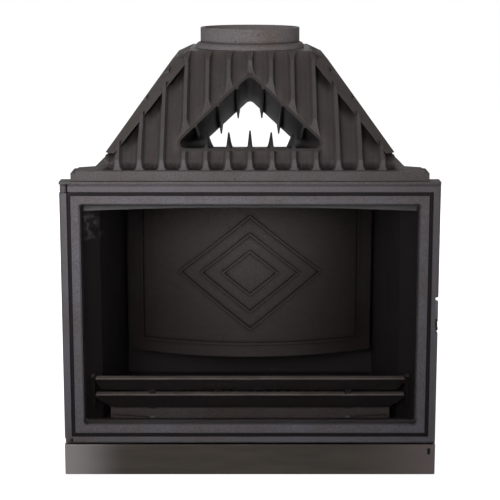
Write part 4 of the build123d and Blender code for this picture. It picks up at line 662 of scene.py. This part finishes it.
class INSERT_OT_steel(bpy.types.Operator):
    """Brushes the steel strip, the rod and the pins, darkens the latch and finishes the sheet and bolts"""

    bl_idname = "insert.steel"
    bl_label = "Steel parts"

    def execute(self, context):
        finish = context.scene.insert_finish
        colour = Vector(finish.steel_colour)
        low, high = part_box("drawer_front")
        # painted reflections: lighter bands at the strip's left and right ends
        left_painted_reflection = (low.x, low.x + 0.12, (0.16, 0.148, 0.150))
        right_painted_reflection = (high.x + 0.05, high.x - 0.17, (0.08, 0.066, 0.066))
        strip = brushed_steel("brushed_strip", finish.strip_colour, 0.42, painted_reflections=(left_painted_reflection, right_painted_reflection))
        paint(strip, "drawer_front")
        paint(brushed_steel("bright_steel", colour, 0.34), "latch_pivot", "keeper_pin", "hinge_pins")
        paint(brushed_steel("dark_rod", colour * 0.03, 0.5), "air_rod")
        paint(latch_steel("latch_steel", colour), "latch_lever")
        paint(sheet_steel("dark_sheet", colour * 0.35, 0.5, metallic=0.8),
              "ash_drawer", "drawer_runner_left", "drawer_runner_right", "air_shutter",
              "liner_studs", "glass_retainers")
        paint(sheet_steel("sooty_sheet", colour * 0.28, 0.65, metallic=0.0), "airwash_deflector")
        paint(sheet_steel("painted_sheet", Vector(finish.iron_colour) * 0.8, 0.55, metallic=0.0),
              "base_rear", "base_side_left", "base_side_right")
        paint(sheet_steel("dark_fastener", colour * 0.55, 0.38, metallic=1.0),
              "back_wall_bolts", "front_frame_screws", "hood_bolts", "deflector_screws",
              "fence_bolts", "retainer_screws", "shutter_studs")
        return {"FINISHED"}


class INSERT_OT_glass(bpy.types.Operator):
    """Clears the door's pane"""

    bl_idname = "insert.glass"
    bl_label = "Door glass"

    def execute(self, context):
        paint(clear_glass("ceramic_glass"), "door_glass")
        return {"FINISHED"}


# ---------------------------------------------------------------- seals
def push_ring(bm, uv, ring, edges, matrix, start, end):
    """Extrudes a ring of vertices by a transform, with UV on its faces; returns the new ring and edges."""
    count = len(ring)
    made = bmesh.ops.extrude_edge_only(bm, edges=edges)["geom"]
    fresh = [v for v in made if isinstance(v, bmesh.types.BMVert)]
    moved = {}
    for old in ring:
        moved[old] = next(v for v in fresh if (v.co - old.co).length < 1e-9 and v not in moved.values())
    bmesh.ops.transform(bm, matrix=matrix, verts=fresh)
    new_ring = [moved[v] for v in ring]
    order = {v: i for i, v in enumerate(ring)}
    order.update({v: i for i, v in enumerate(new_ring)})
    ends = set(new_ring)
    for face in {f for v in new_ring for f in v.link_faces}:
        places = [order[loop.vert] for loop in face.loops]
        wraps = max(places) - min(places) > 1
        for loop, place in zip(face.loops, places):
            around = count if wraps and place == 0 else place
            loop[uv].uv = (end if loop.vert in ends else start, around / count)
    new_edges = [e for e in bm.edges if e.verts[0] in ends and e.verts[1] in ends]
    return new_ring, new_edges


def swept_frame(width, height, middle, corner, section, sides, run_steps, turn_steps):
    """Closed band round a rectangle in the XZ plane: straight runs and quarter turns of one section.

    The section is its depth and its width; the rest are the faces round it, along a run and in a turn.
    """
    bm = bmesh.new()
    uv = bm.loops.layers.uv.new("UVMap")
    start = Vector((middle.x - width / 2 + corner, middle.y, middle.z - height / 2))
    ring = bmesh.ops.create_circle(bm, segments=sides, radius=0.5)["verts"]
    squareness = 0.6
    for v in ring:
        # a rounded rectangle rather than an ellipse, so that the band fills its groove
        angle = math.atan2(v.co.y, v.co.x)
        v.co = start + Vector((
            0,
            section[0] * math.copysign(abs(math.sin(angle)) ** squareness, math.sin(angle)) / 2,
            section[1] * math.copysign(abs(math.cos(angle)) ** squareness, math.cos(angle)) / 2,
        ))
    edges = list(bm.edges)
    first = list(ring)
    direction = Vector((1, 0, 0))
    inward = Vector((0, 0, 1))
    here = start.copy()
    distance = 0.0
    for length in (width, height, width, height):
        run = length - 2 * corner
        step = Matrix.Translation(direction * run / run_steps)
        for _ in range(run_steps):
            ring, edges = push_ring(bm, uv, ring, edges, step, distance, distance + run / run_steps)
            distance += run / run_steps
        here += direction * run
        centre = here + inward * corner
        angle = math.pi / 2 / turn_steps
        turn = (
            Matrix.Translation(centre) @ Matrix.Rotation(-angle, 4, "Y") @ Matrix.Translation(-centre)
        )
        for _ in range(turn_steps):
            ring, edges = push_ring(bm, uv, ring, edges, turn, distance, distance + corner * angle)
            distance += corner * angle
        here = centre + direction * corner
        direction, inward = inward, -direction
    # the last ring meets the first one
    bmesh.ops.remove_doubles(bm, verts=first + ring, dist=1e-6)
    bmesh.ops.recalc_face_normals(bm, faces=bm.faces)
    return bm


class INSERT_OT_seals(bpy.types.Operator):
    """Lays the braided rope in the door's groove and the woven tape behind its lip"""

    bl_idname = "insert.seals"
    bl_label = "Rope and tape"

    def execute(self, context):
        seals = context.scene.insert_seals
        # the weave shows two strands for each wave round the rope
        rope = woven_fibre("braided_rope", seals.rope_colour, along=90.0, around=seals.rope_strands / 2)
        low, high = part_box("door_seal")
        door_low, door_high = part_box("door_frame")
        inset = seals.rope_centre
        middle = (low + high) / 2
        width = (door_high.x - door_low.x) - 2 * inset
        height = (door_high.z - door_low.z) - 2 * inset
        band = 2 * (inset - (low.x - door_low.x))
        piece = dress(
            swept_frame(width, height, middle, seals.rope_corner, (high.y - low.y, band),
                        sides=16, run_steps=60, turn_steps=12),
            "rope_seal", rope, "door",
        )
        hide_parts("door_seal")
        tape = woven_fibre("woven_tape", seals.tape_colour, along=160.0, around=10.0)
        low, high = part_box("glass_tape")
        middle = (low + high) / 2
        band = seals.tape_width
        piece = dress(
            swept_frame(high.x - low.x - band, high.z - low.z - band, middle, seals.tape_corner,
                        (high.y - low.y, band), sides=12, run_steps=40, turn_steps=6),
            "tape_seal", tape, "door",
        )
        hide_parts("glass_tape")
        return {"FINISHED"}


# ---------------------------------------------------------------- studio
def lamp(name, place, target, size, power, colour=(1.0, 1.0, 1.0), spread_angle=180):
    """Softbox that looks at a point; a small spread angle is a grid in front of it."""
    data = bpy.data.lights.new(name, "AREA")
    data.shape = "RECTANGLE"
    data.size, data.size_y = size
    data.energy = power
    data.color = colour
    data.spread = math.radians(spread_angle)
    thing = bpy.data.objects.new(name, data)
    bpy.context.scene.collection.objects.link(thing)
    thing.location = place
    thing.rotation_euler = (Vector(target) - Vector(place)).to_track_quat("-Z", "Y").to_euler()


def backdrop_rays(tree):
    """1 where the camera sees the backdrop directly, in a reflection or through glass."""
    path = put(tree, "ShaderNodeLightPath").outputs
    seen = maths(tree, "ADD", path["Is Camera Ray"], path["Is Glossy Ray"])
    return maths(tree, "ADD", seen, path["Is Transmission Ray"], clamp=True)


def aim_camera(scene, studio):
    """Camera in front of the insert, looking down a little at its middle line."""
    camera = bpy.data.objects.new("camera", bpy.data.cameras.new("camera"))
    scene.collection.objects.link(camera)
    camera.data.lens = studio.lens
    camera.data.sensor_width = 36.0
    camera.data.shift_y = studio.camera_shift
    camera.location = (0, -studio.camera_distance, studio.camera_height)
    camera.rotation_euler = (math.pi / 2 - studio.camera_tilt, 0, 0)
    scene.camera = camera


def hang_lamps(studio):
    """Key and fill in front, one lamp overhead, one at each side and one behind."""
    middle, hood_left, rear_middle = (0, 0, 0.42), (-0.2, -0.2, 0.70), (0, 0.1, 0.45)
    lamp("key", (-0.5, -2.3, 1.15), hood_left, (0.8, 0.8), studio.key_power, spread_angle=46)
    lamp("fill", (1.1, -2.5, 1.2), middle, (1.2, 1.2), studio.fill_power, colour=(1.0, 0.99, 0.98))
    lamp("top", (0.0, 0.4, 2.6), middle, (1.6, 1.6), studio.top_power)
    for side, x, y in (("left", -2.3, 1.6), ("right", 2.3, 1.6), ("rear", 0.0, 2.6)):
        lamp(side, (x, y, 1.3), rear_middle, (1.0, 1.4), studio.side_power)


def white_surroundings(scene, sky):
    """World that is white where it is seen, and lights the insert only by the sky's strength."""
    world = bpy.data.worlds.new("studio_white")
    scene.world = world
    world.use_nodes = True
    tree = world.node_tree
    back = tree.nodes["Background"]
    back.inputs["Color"].default_value = (1, 1, 1, 1)
    tree.links.new(spread(tree, backdrop_rays(tree), 0.0, 1.0, sky, 1.0), back.inputs["Strength"])


def pale_floor(scene):
    """Floor that glows where it is seen, so that it runs out into the white surroundings."""
    half_size = 6.0
    bm = bmesh.new()
    bmesh.ops.create_grid(bm, x_segments=4, y_segments=4, size=half_size)
    mesh = bpy.data.meshes.new("floor")
    bm.to_mesh(mesh)
    bm.free()
    floor = bpy.data.objects.new("floor", mesh)
    scene.collection.objects.link(floor)
    material, tree, shader = new_material("pale_floor")
    shader.inputs["Base Color"].default_value = (0.8, 0.8, 0.8, 1)
    shader.inputs["Roughness"].default_value = 0.9
    shader.inputs["Emission Color"].default_value = (1, 1, 1, 1)
    # a little less than white near the insert, and white further out
    near, far, near_glow = 1.0, 2.5, 0.85
    away = put(tree, "ShaderNodeVectorMath", {0: object_point(tree)}, operation="LENGTH").outputs["Value"]
    glow = maths(tree, "MULTIPLY", backdrop_rays(tree), spread(tree, away, near, far, near_glow, 1.0))
    tree.links.new(glow, shader.inputs["Emission Strength"])
    mesh.materials.append(material)


class INSERT_OT_studio(bpy.types.Operator):
    """Sets the camera, the lamps, the pale floor and the white surroundings"""

    bl_idname = "insert.studio"
    bl_label = "Studio"

    def execute(self, context):
        scene = context.scene
        studio = scene.insert_studio
        aim_camera(scene, studio)
        hang_lamps(studio)
        white_surroundings(scene, studio.sky)
        pale_floor(scene)
        scene.view_settings.view_transform = "Standard"
        return {"FINISHED"}


# ---------------------------------------------------------------- panel and run
class INSERT_PT_panel(bpy.types.Panel):
    """Sidebar panel that lists the insert's pieces and finishes"""

    bl_label = "Fireplace insert"
    bl_idname = "INSERT_PT_panel"
    bl_space_type = "VIEW_3D"
    bl_region_type = "UI"
    bl_category = "Insert"

    def draw(self, context):
        for group in GROUPS:
            column = self.layout.box().column()
            settings = getattr(context.scene, group)
            for name in settings.__annotations__:
                column.prop(settings, name)
        for operator in OPERATORS:
            self.layout.operator(operator.bl_idname)


OPERATORS = (
    INSERT_OT_shared_effects,
    INSERT_OT_outer_iron,
    INSERT_OT_fire_iron,
    INSERT_OT_steel,
    INSERT_OT_glass,
    INSERT_OT_seals,
    INSERT_OT_studio,
)
GROUPS = {"insert_finish": InsertFinish, "insert_seals": InsertSeals, "insert_studio": InsertStudio}


def register():
    for item in (*GROUPS.values(), *OPERATORS, INSERT_PT_panel):
        bpy.utils.register_class(item)
    for name, group in GROUPS.items():
        setattr(bpy.types.Scene, name, PointerProperty(type=group))


def unregister():
    for name in GROUPS:
        delattr(bpy.types.Scene, name)
    for item in reversed((*GROUPS.values(), *OPERATORS, INSERT_PT_panel)):
        bpy.utils.unregister_class(item)


def main():
    register()
    for operator in OPERATORS:
        space, name = operator.bl_idname.split(".")
        if getattr(getattr(bpy.ops, space), name)() != {"FINISHED"}:
            raise RuntimeError(f"{operator.bl_label} did not finish")


if __name__ == "__main__":
    main()
